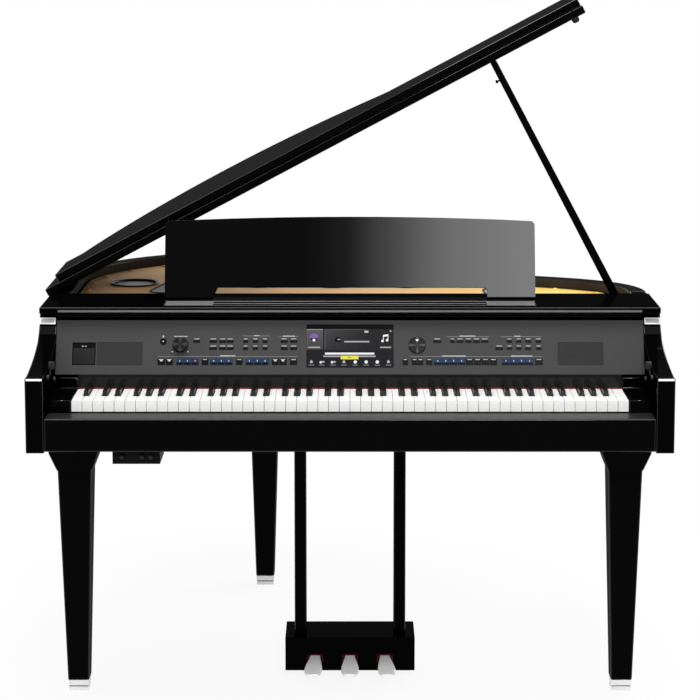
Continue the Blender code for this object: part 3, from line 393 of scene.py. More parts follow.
def ribbon(bm, line, closed, low, high, thickness):
    """A wall that follows a level line of (x, y), between two heights, thickened to its left."""
    count = len(line)
    inner = []
    for i, spot in enumerate(line):
        before = line[(i - 1) % count] if closed or i else spot
        after = line[(i + 1) % count] if closed or i < count - 1 else spot
        along = (after - before).normalized()
        inner.append(spot + thickness * Vector((-along.y, along.x)))
    rings = [[bm.verts.new((p.x, p.y, z)) for p, z in ((a, low), (b, low), (b, high), (a, high))]
             for a, b in zip(line, inner)]
    pairs = list(zip(rings, rings[1:])) + ([(rings[-1], rings[0])] if closed else [])
    for ring, following in pairs:
        for i in range(4):
            j = (i + 1) % 4
            bm.faces.new((ring[i], ring[j], following[j], following[i]))
    if not closed:
        bm.faces.new(rings[0])
        bm.faces.new(rings[-1])
    return bm


def top_outlines(node):
    """Closed lines round a node's level top faces, as lists of (x, y), the longest first."""
    bm = bmesh.new()
    bm.from_mesh(NODES[node].data)
    bmesh.ops.remove_doubles(bm, verts=bm.verts, dist=0.00002)
    height = max(vert.co.z for vert in bm.verts)
    tops = {face for face in bm.faces if all(abs(vert.co.z - height) < 0.0001 for vert in face.verts)}
    follow = {}
    for face in tops:
        for loop in face.loops:
            if not any(other in tops for other in loop.edge.link_faces if other != face):
                follow[loop.vert.index] = loop.link_loop_next.vert.index
    places = {vert.index: Vector(vert.co[:2]) for vert in bm.verts}
    bm.free()
    lines = []
    while follow:
        start, here = next(iter(follow.items()))
        del follow[start]
        line = [places[start]]
        while here != start:
            line.append(places[here])
            here = follow.pop(here)
        lines.append(line)
    return sorted(lines, key=len, reverse=True)


def repeat_tree():
    """Geometry tree that sets one small tapered solid on each point, in the size that the point holds."""
    tree = bpy.data.node_groups.get("repeat_on_points")
    if tree:
        return tree
    tree = bpy.data.node_groups.new("repeat_on_points", "GeometryNodeTree")
    for name, kind, direction in (("Points", "NodeSocketGeometry", "INPUT"), ("Sides", "NodeSocketInt", "INPUT"),
                                  ("Taper", "NodeSocketFloat", "INPUT"), ("Spin", "NodeSocketFloat", "INPUT"),
                                  ("Material", "NodeSocketMaterial", "INPUT"),
                                  ("Solids", "NodeSocketGeometry", "OUTPUT")):
        tree.interface.new_socket(name, in_out=direction, socket_type=kind)
    graph = Graph(tree, "GeometryNode")
    given = graph.add("NodeGroupInput")
    across = 0.5 / math.cos(math.pi / 4)
    cone = graph.add("MeshCone", {"fill_type": "NGON"}, Vertices=graph.outputs(given, "Sides"),
                     Radius_Top=graph.add("ShaderNodeMath", {"operation": "MULTIPLY"}, graph.outputs(given, "Taper"),
                                          across),
                     Radius_Bottom=across, Depth=1.0)
    turn = graph.add("ShaderNodeCombineXYZ", None, 0.0, 0.0, graph.outputs(given, "Spin"))
    turned_cone = graph.add("Transform", None, cone, Translation=(0.0, 0.0, -0.5), Rotation=turn)
    size = graph.add("InputNamedAttribute", {"data_type": "FLOAT_VECTOR"}, "size")
    placed = graph.add("InstanceOnPoints", None, given, Instance=turned_cone, Scale=size)
    real = graph.add("RealizeInstances", None, placed)
    dressed = graph.add("SetMaterial", None, real, Material=graph.outputs(given, "Material"))
    graph.finish_with(dressed)
    return tree


def repeated(name, places, material, body, matrix=None, sides=4, taper=0.9, smooth=None):
    """One piece of small solids, each given as its centre and its size along its three axes."""
    mesh = bpy.data.meshes.new(name + "_points")
    mesh.from_pydata([spot for spot, _ in places], [], [])
    size = mesh.attributes.new("size", "FLOAT_VECTOR", "POINT")
    size.data.foreach_set("vector", [value for _, extent in places for value in extent])
    holder = bpy.data.objects.new(name + "_points", mesh)
    bpy.context.scene.collection.objects.link(holder)
    modifier = holder.modifiers.new("repeat", "NODES")
    modifier.node_group = repeat_tree()
    sockets = {item.name: item.identifier for item in modifier.node_group.interface.items_tree
               if item.in_out == "INPUT"}
    modifier[sockets["Sides"]] = sides
    modifier[sockets["Taper"]] = taper
    modifier[sockets["Spin"]] = math.pi / 4 if sides == 4 else 0.0
    modifier[sockets["Material"]] = material
    bpy.context.view_layer.update()
    graph = bpy.context.evaluated_depsgraph_get()
    solid = bpy.data.meshes.new_from_object(holder.evaluated_get(graph), depsgraph=graph)
    bpy.data.objects.remove(holder)
    if matrix:
        solid.transform(matrix)
    return adopt(name, solid, None, body, smooth)


RECORD = frame["record"]
BODY_OF = {node: body for body, nodes in RECORD["behaviour"]["bodies"].items() for node in nodes}


def finished_mesh(name, mesh, *modifiers):
    """The mesh with modifiers applied, each given as its name, its kind and its settings."""
    holder = bpy.data.objects.new(name + "_start", mesh)
    bpy.context.scene.collection.objects.link(holder)
    for label, kind, settings in modifiers:
        modifier = holder.modifiers.new(label, kind)
        for setting, value in settings.items():
            setattr(modifier, setting, value)
    bpy.context.view_layer.update()
    graph = bpy.context.evaluated_depsgraph_get()
    solid = bpy.data.meshes.new_from_object(holder.evaluated_get(graph), depsgraph=graph)
    bpy.data.objects.remove(holder)
    return solid


def refined(node, material, width=0.0006, segments=2, smooth=40, arris=None):
    """A finer copy that stands in for a node: flat parts merged, and edges rounded, in their own finish if given."""
    bm = bmesh.new()
    bm.from_mesh(NODES[node].data)
    bmesh.ops.remove_doubles(bm, verts=bm.verts, dist=0.00002)
    bmesh.ops.dissolve_limit(bm, angle_limit=math.radians(0.4), verts=bm.verts, edges=bm.edges)
    mesh = bpy.data.meshes.new(node + "_start")
    bm.to_mesh(mesh)
    bm.free()
    mesh.shade_smooth()
    mesh.set_sharp_from_angle(angle=math.radians(smooth + 30))
    mesh.materials.clear()
    mesh.materials.append(material)
    if arris:
        mesh.materials.append(arris)
    rounding = {"width": width, "segments": segments, "limit_method": "ANGLE", "angle_limit": math.radians(smooth),
                "material": 1 if arris else -1}
    solid = finished_mesh(node, mesh, ("round", "BEVEL", rounding), ("flat", "WEIGHTED_NORMAL", {"keep_sharp": True}))
    made = adopt("fine_" + node, solid, None, BODY_OF[node])
    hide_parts(node)
    return made


def surface_at(node, start, heading):
    """Where a line from a point meets a node, and the surface's outward normal there."""
    mesh = NODES[node].data
    tree = BVHTree.FromPolygons([vert.co for vert in mesh.vertices], [face.vertices for face in mesh.polygons])
    spot, normal, _, _ = tree.ray_cast(Vector(start), Vector(heading).normalized())
    if spot is None:
        raise RuntimeError(f"no surface of {node} from {start}")
    return spot, normal


def facing(spot, normal, up=(0, 0, 1)):
    """Matrix at a spot whose Z follows the normal and whose Y leans towards up."""
    z = Vector(normal).normalized()
    x = Vector(up).cross(z).normalized()
    y = z.cross(x)
    return Matrix.Translation(spot) @ Matrix((x, y, z)).transposed().to_4x4()


class Sheet:
    """Flat coloured shapes laid one over the other as thin plates."""

    def __init__(self):
        self.bm = bmesh.new()
        self.tint = self.bm.loops.layers.float_color.new("tint")

    def shape(self, outline, colour, level):
        """A plate whose top lies that many hairs up. The colour may be a function of the place."""
        rings = [[self.bm.verts.new((x, y, z)) for x, y in outline] for z in ((level - 1) * HAIR, level * HAIR)]
        faces = [self.bm.faces.new(ring) for ring in rings]
        for i in range(len(outline)):
            j = (i + 1) % len(outline)
            faces.append(self.bm.faces.new((rings[0][i], rings[0][j], rings[1][j], rings[1][i])))
        for face in faces:
            for loop in face.loops:
                shade = colour(loop.vert.co.x, loop.vert.co.y) if callable(colour) else colour
                loop[self.tint] = rgba(shade)

    def bar(self, x, y, width, height, colour, level=2):
        self.shape(bar(x, y, width, height), colour, level)

    def disc(self, x, y, radius, colour, level=2, start=0.0, end=360.0, sides=20):
        self.shape(disc(x, y, radius, start, end, sides), colour, level)


def bar(x, y, width, height):
    """Outline of a bar round its middle."""
    a = width / 2
    b = height / 2
    return [(x - a, y - b), (x + a, y - b), (x + a, y + b), (x - a, y + b)]


def disc(x, y, radius, start=0.0, end=360.0, sides=20):
    """Outline of a disc, or of a part of one between two angles."""
    count = sides if end - start >= 360 else sides + 1
    turns = [math.radians(start + (end - start) * i / sides) for i in range(count)]
    return [(x + radius * math.cos(turn), y + radius * math.sin(turn)) for turn in turns]


def colour_property(name, description, default):
    return FloatVectorProperty(name=name, description=description, default=default, subtype="COLOR", size=3)


class PianoSizes(bpy.types.PropertyGroup):
    gloss: FloatProperty(name="Gloss", description="Share of gloss in the black lacquer", default=0.045, min=0.0,
                         max=1.0, subtype="FACTOR")
    edge: FloatProperty(name="Edge", description="Rounding of the lacquered edges", default=0.0007, unit="LENGTH")
    felt_height: FloatProperty(name="Felt height", description="Height of the key felt above the keys",
                               default=0.0032, unit="LENGTH")
    lining: FloatProperty(name="Rim lining", description="Thickness of the lining inside the rim",
                          default=0.0015, unit="LENGTH")
    button_rise: FloatProperty(name="Button rise", description="Height of the panel's buttons",
                               default=0.0016, unit="LENGTH")
    grille_pitch: FloatProperty(name="Grille pitch", description="Distance between the holes of a panel grille",
                                default=0.0026, unit="LENGTH")
    bolt: FloatProperty(name="Bolt", description="Width of a bolt head on the frame plate", default=0.009,
                        unit="LENGTH")


class PianoColours(bpy.types.PropertyGroup):
    lacquer: colour_property("Lacquer", "Polished black of the case", (0.0009, 0.0009, 0.0010))
    panel: colour_property("Panel", "Grey of the control panel", (0.046, 0.046, 0.047))
    grille: colour_property("Grille", "Grey of the panel's loudspeaker grilles", (0.034, 0.034, 0.035))
    button: colour_property("Button", "Black of the panel's buttons", (0.0025, 0.0025, 0.0028))
    mark: colour_property("Mark", "Printed dashes and hairlines", (0.42, 0.42, 0.43))
    white_key: colour_property("White key", "Covering of the white keys", (0.90, 0.90, 0.89))
    black_key: colour_property("Black key", "Covering of the black keys", (0.004, 0.004, 0.0042))
    felt: colour_property("Felt", "Felt behind the keys and round the pedals", (0.16, 0.008, 0.012))
    # The three plate colours are one gold under different light: painted shade at the bass side, painted light at the
    # treble side.
    plate_bass: colour_property("Plate, bass", "Frame plate at the bass side", (0.90, 0.50, 0.20))
    plate_tenor: colour_property("Plate, tenor", "Frame plate in the middle", (0.97, 0.62, 0.26))
    plate_treble: colour_property("Plate, treble", "Frame plate at the treble side", (0.84, 0.62, 0.08))
    lining: colour_property("Lining", "Wood lining inside the rim", (0.045, 0.033, 0.022))
    screen_cloth: colour_property("Cloth", "Cloth under the frame plate", (0.42, 0.39, 0.47))
    blue_light: colour_property("Blue light", "Light of the blue buttons", (0.010, 0.050, 0.150))
    teal_light: colour_property("Teal light", "Light of the first style button", (0.012, 0.060, 0.085))
    violet_light: colour_property("Violet light", "Light of the third style button", (0.050, 0.020, 0.110))
    silver: colour_property("Silver", "Satin metal of the feet and fittings", (0.86, 0.86, 0.86))


LACQUERED = ("left_side_panel", "right_side_panel", "curved_rim", "left_key_block", "right_key_block", "key_cover")
TOP_BOARD_GLOSS = 0.006       # share of gloss on the top board, which is seen along its surface
RAIL_GLOSS = 0.02
SIDE_GLOSS = 0.02
LID_GLOSS = 0.03
DESK_GLOSS = 0.08
LYRE_GLOSS = 0.02
EDGE_GLOSS = 0.8              # share of gloss along the rounded arrises, which catch the light
BOARD_STRIP = (0.0110, 0.0062)    # grey strip in the top board's front edge, from the board's top
FOOT_SHEEN_SPAN = (0.312, 0.420)        # grey strips on the desk rail's steps, across from the middle: painted reflection under the desk's feet
FOOT_SHEEN_STEPS = ((0.0010, 0.0205, 0.0010), (0.0230, 0.0465, 0.0020))    # depths on the rail, and height
LINK_BLOCK = (0.012, 0.784, 0.800)    # reach from the cheek, and heights
LINK_FOOT = (0.012, 0.7725)           # depth behind the key fronts and height of the link rod's lower end
LINK_ROD = 0.0013
CHEEK_PLATE = (0.0362, 0.0160, 0.0022)
# Height of the bright strip that is a painted highlight along each arm's front top arris.
ARM_HIGHLIGHT_HEIGHT = 0.0042
CHEEK_PLATE_X = 0.6862
CHEEK_PLATE_Z = 0.8652
CHEEK_BOSSES = ((0.000, 0.772), (0.112, 0.7475))     # depth behind the key fronts and height


def key_front():
    """World Y of the white keys' front faces."""
    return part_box("white_keys")[0].y


class PIANO_OT_case(bpy.types.Operator):
    """Finish the case in black lacquer, with the plates and bosses on its cheeks"""

    bl_idname = "piano.case"
    bl_label = "Case"

    def execute(self, context):
        black = lacquer("ebony_lacquer")
        arris = lacquer("ebony_arris", EDGE_GLOSS)
        side = lacquer("side_lacquer", SIDE_GLOSS)
        for node in LACQUERED:
            refined(node, side if node.endswith("side_panel") else black, sizes().edge, arris=arris)
        refined("top_board", lacquer("top_board_lacquer", TOP_BOARD_GLOSS), sizes().edge, arris=arris)
        # The desk rail's rounded arrises are painted satin grey: painted highlight lines along its edges.
        refined("desk_rail", lacquer("desk_rail_lacquer", RAIL_GLOSS), 0.0005,
                arris=satin("rail_arris", (0.16, 0.16, 0.165), 0.4))
        keyslip = refined("keyslip", black, sizes().edge, arris=arris).data
        # The keyslip's flat top is a lighter satin grey with more gloss: real gloss, and a painted sheen in its
        # lighter grey.
        keyslip.materials.append(satin("keyslip_strip", (0.012, 0.012, 0.0122), 0.4, gloss=0.16))
        for face in keyslip.polygons:
            if face.normal.z > 0.7:
                face.material_index = 2
        # The fallboard strip is a lighter black than the case, with more gloss: the lighter tone is a painted
        # reflection, the gloss is real.
        dress("fallboard_strip", lacquer("fallboard_lacquer", 0.15, (0.010, 0.0105, 0.010)))
        for node in ("bottom_board", "belly_rail"):
            dress(node, black)
        dark = satin("speaker_plastic", (0.018, 0.018, 0.02), 0.6)
        for node in ("left_woofer", "right_woofer"):
            dress(node, dark)
        dress("jack_box", satin("jack_box_plastic", (0.003, 0.003, 0.0032), 0.5, gloss=0.05))
        dress("main_board", satin("circuit_board", (0.02, 0.12, 0.05), 0.4, 300.0))
        dress("power_unit", brushed("zinc_steel", (0.55, 0.56, 0.57), 0.35))
        dress("sound_screen", cloth("speaker_cloth", colours().screen_cloth))
        self.add_cheek_fittings()
        self.add_arm_trims()
        self.add_cover_links()
        self.add_grey_strips()
        self.add_woofer_covers()
        self.add_jack_rings()
        return {"FINISHED"}

    def add_cheek_fittings(self):
        """Bright bordered plates at the cheeks' upper front ends, and rubber bosses inside the arms."""
        width, height, thickness = CHEEK_PLATE
        border = satin_metal("cheek_plate_border", (0.84, 0.84, 0.84), 0.3, 0.1)
        centre = satin_metal("cheek_plate_centre", (0.40, 0.40, 0.405), 0.5, 0.1)
        rubber = satin("boss_rubber", (0.020, 0.020, 0.021), 0.55, gloss=0.3)
        for side, label in ((-1, "left"), (1, "right")):
            node = label + "_side_panel"
            start = (side * CHEEK_PLATE_X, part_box(node)[0].y - 0.1, CHEEK_PLATE_Z)
            spot, normal = surface_at(node, start, (0, 1, 0))
            matrix = facing(spot, normal)
            rim = block(bmesh.new(), (-width / 2, -height / 2, -0.0005), (width / 2, height / 2, thickness), 0.0007)
            piece(label + "_cheek_plate", rim, border, "case", matrix, 40)
            inset = block(bmesh.new(), (0.0030 - width / 2, 0.0030 - height / 2, thickness - 0.0005),
                          (width / 2 - 0.0030, height / 2 - 0.0030, thickness + 0.0002), 0.0002)
            piece(label + "_cheek_plate_centre", inset, centre, "case", matrix, 40)
            bosses = bmesh.new()
            for depth, height_up in CHEEK_BOSSES:
                start = (0, key_front() + depth, height_up)
                place, face = surface_at(node, start, (side, 0, 0))
                turned(bosses, ((0.0056, -0.0005), (0.0056, 0.003), (0.0050, 0.0042), (0.0030, 0.0046),
                                (0.0, 0.0046)), 20, facing(place, face))
            piece(label + "_cheek_bosses", bosses, rubber, "case", None, 40)

    def add_arm_trims(self):
        """Thin bright strip along each arm's front top edge: a painted highlight of the rounded arris."""
        silver = satin_metal("arm_trim_silver", (0.90, 0.90, 0.90), 0.3, 0.1)
        for label in ("left", "right"):
            node = label + "_side_panel"
            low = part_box(node)[0]
            front = [vert.co for vert in NODES[node].data.vertices if vert.co.y < low.y + 0.0005]
            top = max(spot.z for spot in front)
            across = [spot.x for spot in front]
            painted_light_mesh = block(bmesh.new(), (min(across) + 0.001, low.y - 0.0004, top - ARM_HIGHLIGHT_HEIGHT),
                         (max(across) - 0.001, low.y + 0.0025, top + 0.0002), 0.0003)
            piece(label + "_arm_trim", painted_light_mesh, silver, "case", None, 40)

    def add_cover_links(self):
        """Small dark blocks on the cheeks' inner faces, with the key cover's link rods."""
        dark = satin("link_plastic", (0.020, 0.020, 0.0205), 0.45)
        reach, foot, head = LINK_BLOCK
        for side, label in ((-1, "left"), (1, "right")):
            node = label + "_side_panel"
            wall = surface_at(node, (0, key_front() + 0.01, LINK_FOOT[1]), (side, 0, 0))[0].x
            front = surface_at(node, (wall + side * 0.004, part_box(node)[0].y - 0.1, (foot + head) / 2), (0, 1, 0))[0].y
            ends = sorted((wall + side * 0.0003, wall - side * reach))
            link = block(bmesh.new(), (ends[0], front + 0.004, foot), (ends[1], front + 0.020, head), 0.0010)
            start = Vector((wall - side * 0.004, front + 0.010, foot + 0.001))
            end = Vector((wall - side * 0.004, key_front() + LINK_FOOT[0], LINK_FOOT[1]))
            turned(link, ((LINK_ROD, 0.0), (LINK_ROD, (end - start).length)), 10, facing(start, end - start))
            piece(label + "_cover_link", link, dark, "case", None, 40)

    def add_grey_strips(self):
        """Grey strip in the top board's front edge, and grey strips on the rail under the desk's feet, a painted
        reflection.
        """
        grey = satin("strip_plastic", (0.13, 0.13, 0.133), 0.4)
        low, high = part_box("top_board")
        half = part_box("key_cover")[1].x - 0.004
        lower, upper = BOARD_STRIP
        strip = block(bmesh.new(), (-half, low.y - 0.0004, high.z - lower), (half, low.y + 0.002, high.z - upper), 0.0003)
        piece("top_board_strip", strip, grey, "case", None, 40)
        low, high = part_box("desk_rail")
        sheen_strips = bmesh.new()
        for side in (-1, 1):
            inner, outer = sorted(side * x for x in FOOT_SHEEN_SPAN)
            for near, far, height in FOOT_SHEEN_STEPS:
                block(sheen_strips, (inner, low.y + near, low.z + height - 0.0003), (outer, low.y + far, low.z + height + 0.0006),
                      0.0002)
        piece("desk_foot_pads", sheen_strips, grey, "case", None, 40)

    def add_woofer_covers(self):
        """Perforated covers over the two loudspeaker holes in the underside. Their holes are dark hexagons on the
        cover: painted shade where the holes are.
        """
        black = satin("cover_steel", (0.03, 0.03, 0.032), 0.45)
        hole = satin("cover_hole", (0.002, 0.002, 0.002), 0.8)
        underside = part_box("bottom_board")[0].z
        for label in ("left", "right"):
            middle = box_middle(label + "_woofer")
            matrix = Matrix.Translation((middle.x, middle.y, underside)) @ Matrix.Rotation(math.pi, 4, "X")
            dish = ((0.0, 0.0035), (0.060, 0.0035), (0.068, 0.0020), (0.070, 0.0), (0.070, -0.0003), (0.0, -0.0003))
            piece(label + "_woofer_cover", turned(bmesh.new(), dish, 48, matrix), black, "case", None,
                  40)
            pitch = 0.0052
            count = int(0.056 / pitch)
            spots = [((i + (j % 2) / 2) * pitch, j * pitch * 0.866) for i in range(-count, count + 1)
                     for j in range(-count - 1, count + 2)]
            places = [((x, y, 0.0035), (0.003, 0.003, 0.0003)) for x, y in spots if math.hypot(x, y) < 0.057]
            repeated(label + "_woofer_holes", places, hole, "case", matrix, sides=6, taper=1.0)

    def add_jack_rings(self):
        """Steel rings round the sockets on the front of the jack box."""
        low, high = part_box("jack_box")
        steel = satin("socket_rim", (0.010, 0.010, 0.0105), 0.35, gloss=0.15)
        rings = bmesh.new()
        for share in (0.20, 0.62, 0.81):
            x = low.x + share * (high.x - low.x)
            place = Matrix.Translation((x, low.y, (low.z + high.z) / 2)) @ Matrix.Rotation(math.pi / 2, 4, "X")
            turned(rings, ((0.0, 0.0003), (0.0028, 0.0003), (0.0028, 0.0006), (0.0046, 0.0006), (0.0050, 0.0),
                           (0.0050, -0.001), (0.0, -0.001)), 20, place)
        piece("socket_rings", rings, steel, "case", None, 40)


def satin_metal(name, colour, roughness, metallic=0.35):
    """Metal under a clear satin coat, pale from every side."""
    finish = Finish(name)
    cloud = finish.noise(40.0, 2.0)
    tone = finish.mix(cloud, [c * 0.94 for c in colour], colour)
    return finish.close(tone, roughness + cloud * 0.06, metallic=metallic, Specular_IOR_Level=0.5)


def dress(name, material):
    slots = NODES[name].data.materials
    slots.clear()
    slots.append(material)


BUMPER_X = 0.521
BUMPER_RADIUS = 0.0088
BUMPER_DROP = 0.0115
PROP_KNOB = (0.357, 1.3985, 0.0042)


class PIANO_OT_lid(bpy.types.Operator):
    """Finish the lid, its front leaf, its prop and its fittings"""

    bl_idname = "piano.lid"
    bl_label = "Lid"

    def execute(self, context):
        black = lacquer("lid_lacquer", LID_GLOSS)
        arris = lacquer("lid_arris", EDGE_GLOSS)
        for node, width in (("lid", 1.0), ("lid_front_leaf", 1.6), ("lid_prop", 1.0)):
            refined(node, black, sizes().edge * width, smooth=35, arris=arris)
        refined("prop_bracket", satin_metal("bracket_steel", (0.22, 0.22, 0.225), 0.35), 0.0004)
        self.add_bumper()
        self.add_knuckles()
        self.add_prop_fittings(black)
        return {"FINISHED"}

    def add_bumper(self):
        """Rubber bumper under the lid's free corner."""
        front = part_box("lid")[0].y
        y = front + BUMPER_RADIUS + 0.001
        spot, normal = surface_at("lid", (BUMPER_X, y, 1.2), (0, 0, 1))
        rubber = satin("bumper_rubber", (0.012, 0.012, 0.012), 0.6)
        profile = ((BUMPER_RADIUS, -0.0005), (BUMPER_RADIUS, BUMPER_DROP * 0.45), (BUMPER_RADIUS * 0.9, BUMPER_DROP * 0.75),
                   (BUMPER_RADIUS * 0.6, BUMPER_DROP * 0.95), (0.0, BUMPER_DROP))
        piece("lid_bumper", turned(bmesh.new(), profile, 24, facing(spot, normal, (0, 1, 0))), rubber, "lid",
              None, 40)

    def add_knuckles(self):
        """Knuckles of the lid's hinges along the case's side."""
        steel = satin_metal("hinge_brass", (0.55, 0.43, 0.20), 0.35)
        side = JOINTS["lid_hinge"]["pos_m"]
        run = bmesh.new()
        low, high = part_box("left_side_panel")
        for share in (0.12, 0.5, 0.88):
            y = side[1] + share * (high.y - side[1])
            matrix = Matrix.Translation((side[0], y, side[2])) @ Matrix.Rotation(math.pi / 2, 4, "X")
            turned(run, ((0.0, -0.030), (0.0022, -0.030), (0.0024, -0.0296), (0.0024, 0.0296), (0.0022, 0.030),
                         (0.0, 0.030)), 12, matrix)
        piece("lid_hinge_knuckles", run, steel, "case", None, 40)

    def add_prop_fittings(self, black):
        """Small knob on the prop's upper edge and a bright pin at its foot."""
        x, z, radius = PROP_KNOB
        middle = box_middle("lid_prop")
        start = Vector((x - 0.05, middle.y, z))
        spot, normal = surface_at("lid_prop", start, (1, 0, 0))
        knob = turned(bmesh.new(), ((0.0020, -0.0005), (0.0020, 0.0035), (radius, 0.0045), (radius, 0.0075),
                                    (radius * 0.7, 0.0090), (0.0, 0.0092)), 20, facing(spot, normal, (0, 1, 0)))
        piece("prop_knob", knob, black, "lid_prop", None, 40)
        pivot = JOINTS["prop_fold"]["pos_m"]
        low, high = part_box("prop_bracket")
        matrix = Matrix.Translation((pivot[0], low.y, pivot[2])) @ Matrix.Rotation(math.pi / 2, 4, "X")
        pin = turned(bmesh.new(), ((0.0062, -0.0003), (0.0062, 0.0012), (0.0050, 0.0020), (0.0, 0.0022)), 20, matrix)
        piece("prop_pin_head", pin, satin_metal("pin_steel", (0.60, 0.60, 0.61), 0.3), "case", None, 40)


class PIANO_OT_music_desk(bpy.types.Operator):
    """Finish the music desk and its stays"""

    bl_idname = "piano.music_desk"
    bl_label = "Music desk"

    def execute(self, context):
        refined("music_desk", lacquer("desk_lacquer", DESK_GLOSS), sizes().edge, smooth=35,
                arris=lacquer("desk_arris", EDGE_GLOSS))
        steel = brushed("stay_steel", (0.55, 0.56, 0.57), 0.35)
        for node in ("left_desk_stay", "right_desk_stay"):
            dress(node, steel)
        return {"FINISHED"}


class PIANO_OT_legs(bpy.types.Operator):
    """Finish the legs and their silver ferrules"""

    bl_idname = "piano.legs"
    bl_label = "Legs"

    def execute(self, context):
        black = lacquer("leg_lacquer")
        arris = lacquer("leg_arris", EDGE_GLOSS)
        silver = satin_metal("ferrule_silver", colours().silver, 0.28)
        for place in ("left_front", "right_front", "rear"):
            refined(place + "_leg", black, sizes().edge, smooth=25, arris=arris)
            refined(place + "_foot", silver, 0.0004, smooth=35)
            self.add_groove(place, satin("groove_black", (0.01, 0.01, 0.01), 0.6))
        return {"FINISHED"}

    def add_groove(self, place, rubber):
        """Dark band in the ferrule's groove: painted shade inside the groove, in the dark material that is passed in.
        """
        low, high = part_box(place + "_foot")
        middle = (low + high) / 2
        half = 0.0216
        band = block(bmesh.new(), (middle.x - half, middle.y - half, 0.0092), (middle.x + half, middle.y + half, 0.0113))
        piece(place + "_foot_band", band, rubber, "case")


class PIANO_OT_lyre(bpy.types.Operator):
    """Finish the posts, the pedal box and the pedals, with the red felts round them"""

    bl_idname = "piano.lyre"
    bl_label = "Lyre"

    def execute(self, context):
        black = lacquer("lyre_lacquer", LYRE_GLOSS)
        arris = lacquer("lyre_arris", EDGE_GLOSS)
        for node in ("left_lyre_post", "right_lyre_post"):
            refined(node, black, sizes().edge, arris=arris)
        dress("pedal_box", black)
        chrome = satin_metal("pedal_chrome", (0.94, 0.94, 0.94), 0.22, 0.12)
        red = felt("pedal_felt", [c * 0.35 for c in colours().felt])
        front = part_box("pedal_box")[0].y
        frames = bmesh.new()
        for node in ("soft_pedal", "middle_pedal", "damper_pedal"):
            refined(node, chrome, 0.0008)
            self.add_felt(frames, JOINTS[node + "_press"]["pos_m"][0], front)
        piece("pedal_felts", frames, red, "case")
        return {"FINISHED"}

    def add_felt(self, bm, x, front):
        """Felt strips at both sides and above a pedal, just inside its window."""
        half = 0.0180
        for side in (-1, 1):
            block(bm, (x + side * half - 0.0032, front + 0.0022, 0.0442),
                  (x + side * half + 0.0032, front + 0.0060, 0.0640))
        block(bm, (x - half, front + 0.0022, 0.0612), (x + half, front + 0.0060, 0.0644))


class PIANO_OT_keyboard(bpy.types.Operator):
    """Finish the keys and lay the red felt behind them"""

    bl_idname = "piano.keyboard"
    bl_label = "Keyboard"

    def execute(self, context):
        ivory = key_plastic("white_key_plastic", colours().white_key, 0.18, 0.05)
        ebony = key_plastic("black_key_plastic", colours().black_key, 0.28, 0.2, 0.15)
        for name in NODES:
            if name == "white_keys" or name.startswith("key_") and name not in ("key_frame", "key_cover"):
                dress(name, ivory)
            if name == "black_keys" or name.endswith("_sharp"):
                dress(name, ebony)
        dress("key_frame", wood("key_frame_wood", (0.42, 0.30, 0.18)))
        strip_low, strip_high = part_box("fallboard_strip")
        key_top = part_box("key_c")[1].z
        gap = 0.00025
        strip = block(bmesh.new(), (strip_low.x, strip_low.y - gap, key_top + gap),
                      (strip_high.x, strip_low.y - HAIR / 2, key_top + sizes().felt_height))
        piece("key_felt", strip, felt("red_felt", colours().felt), "case")
        return {"FINISHED"}


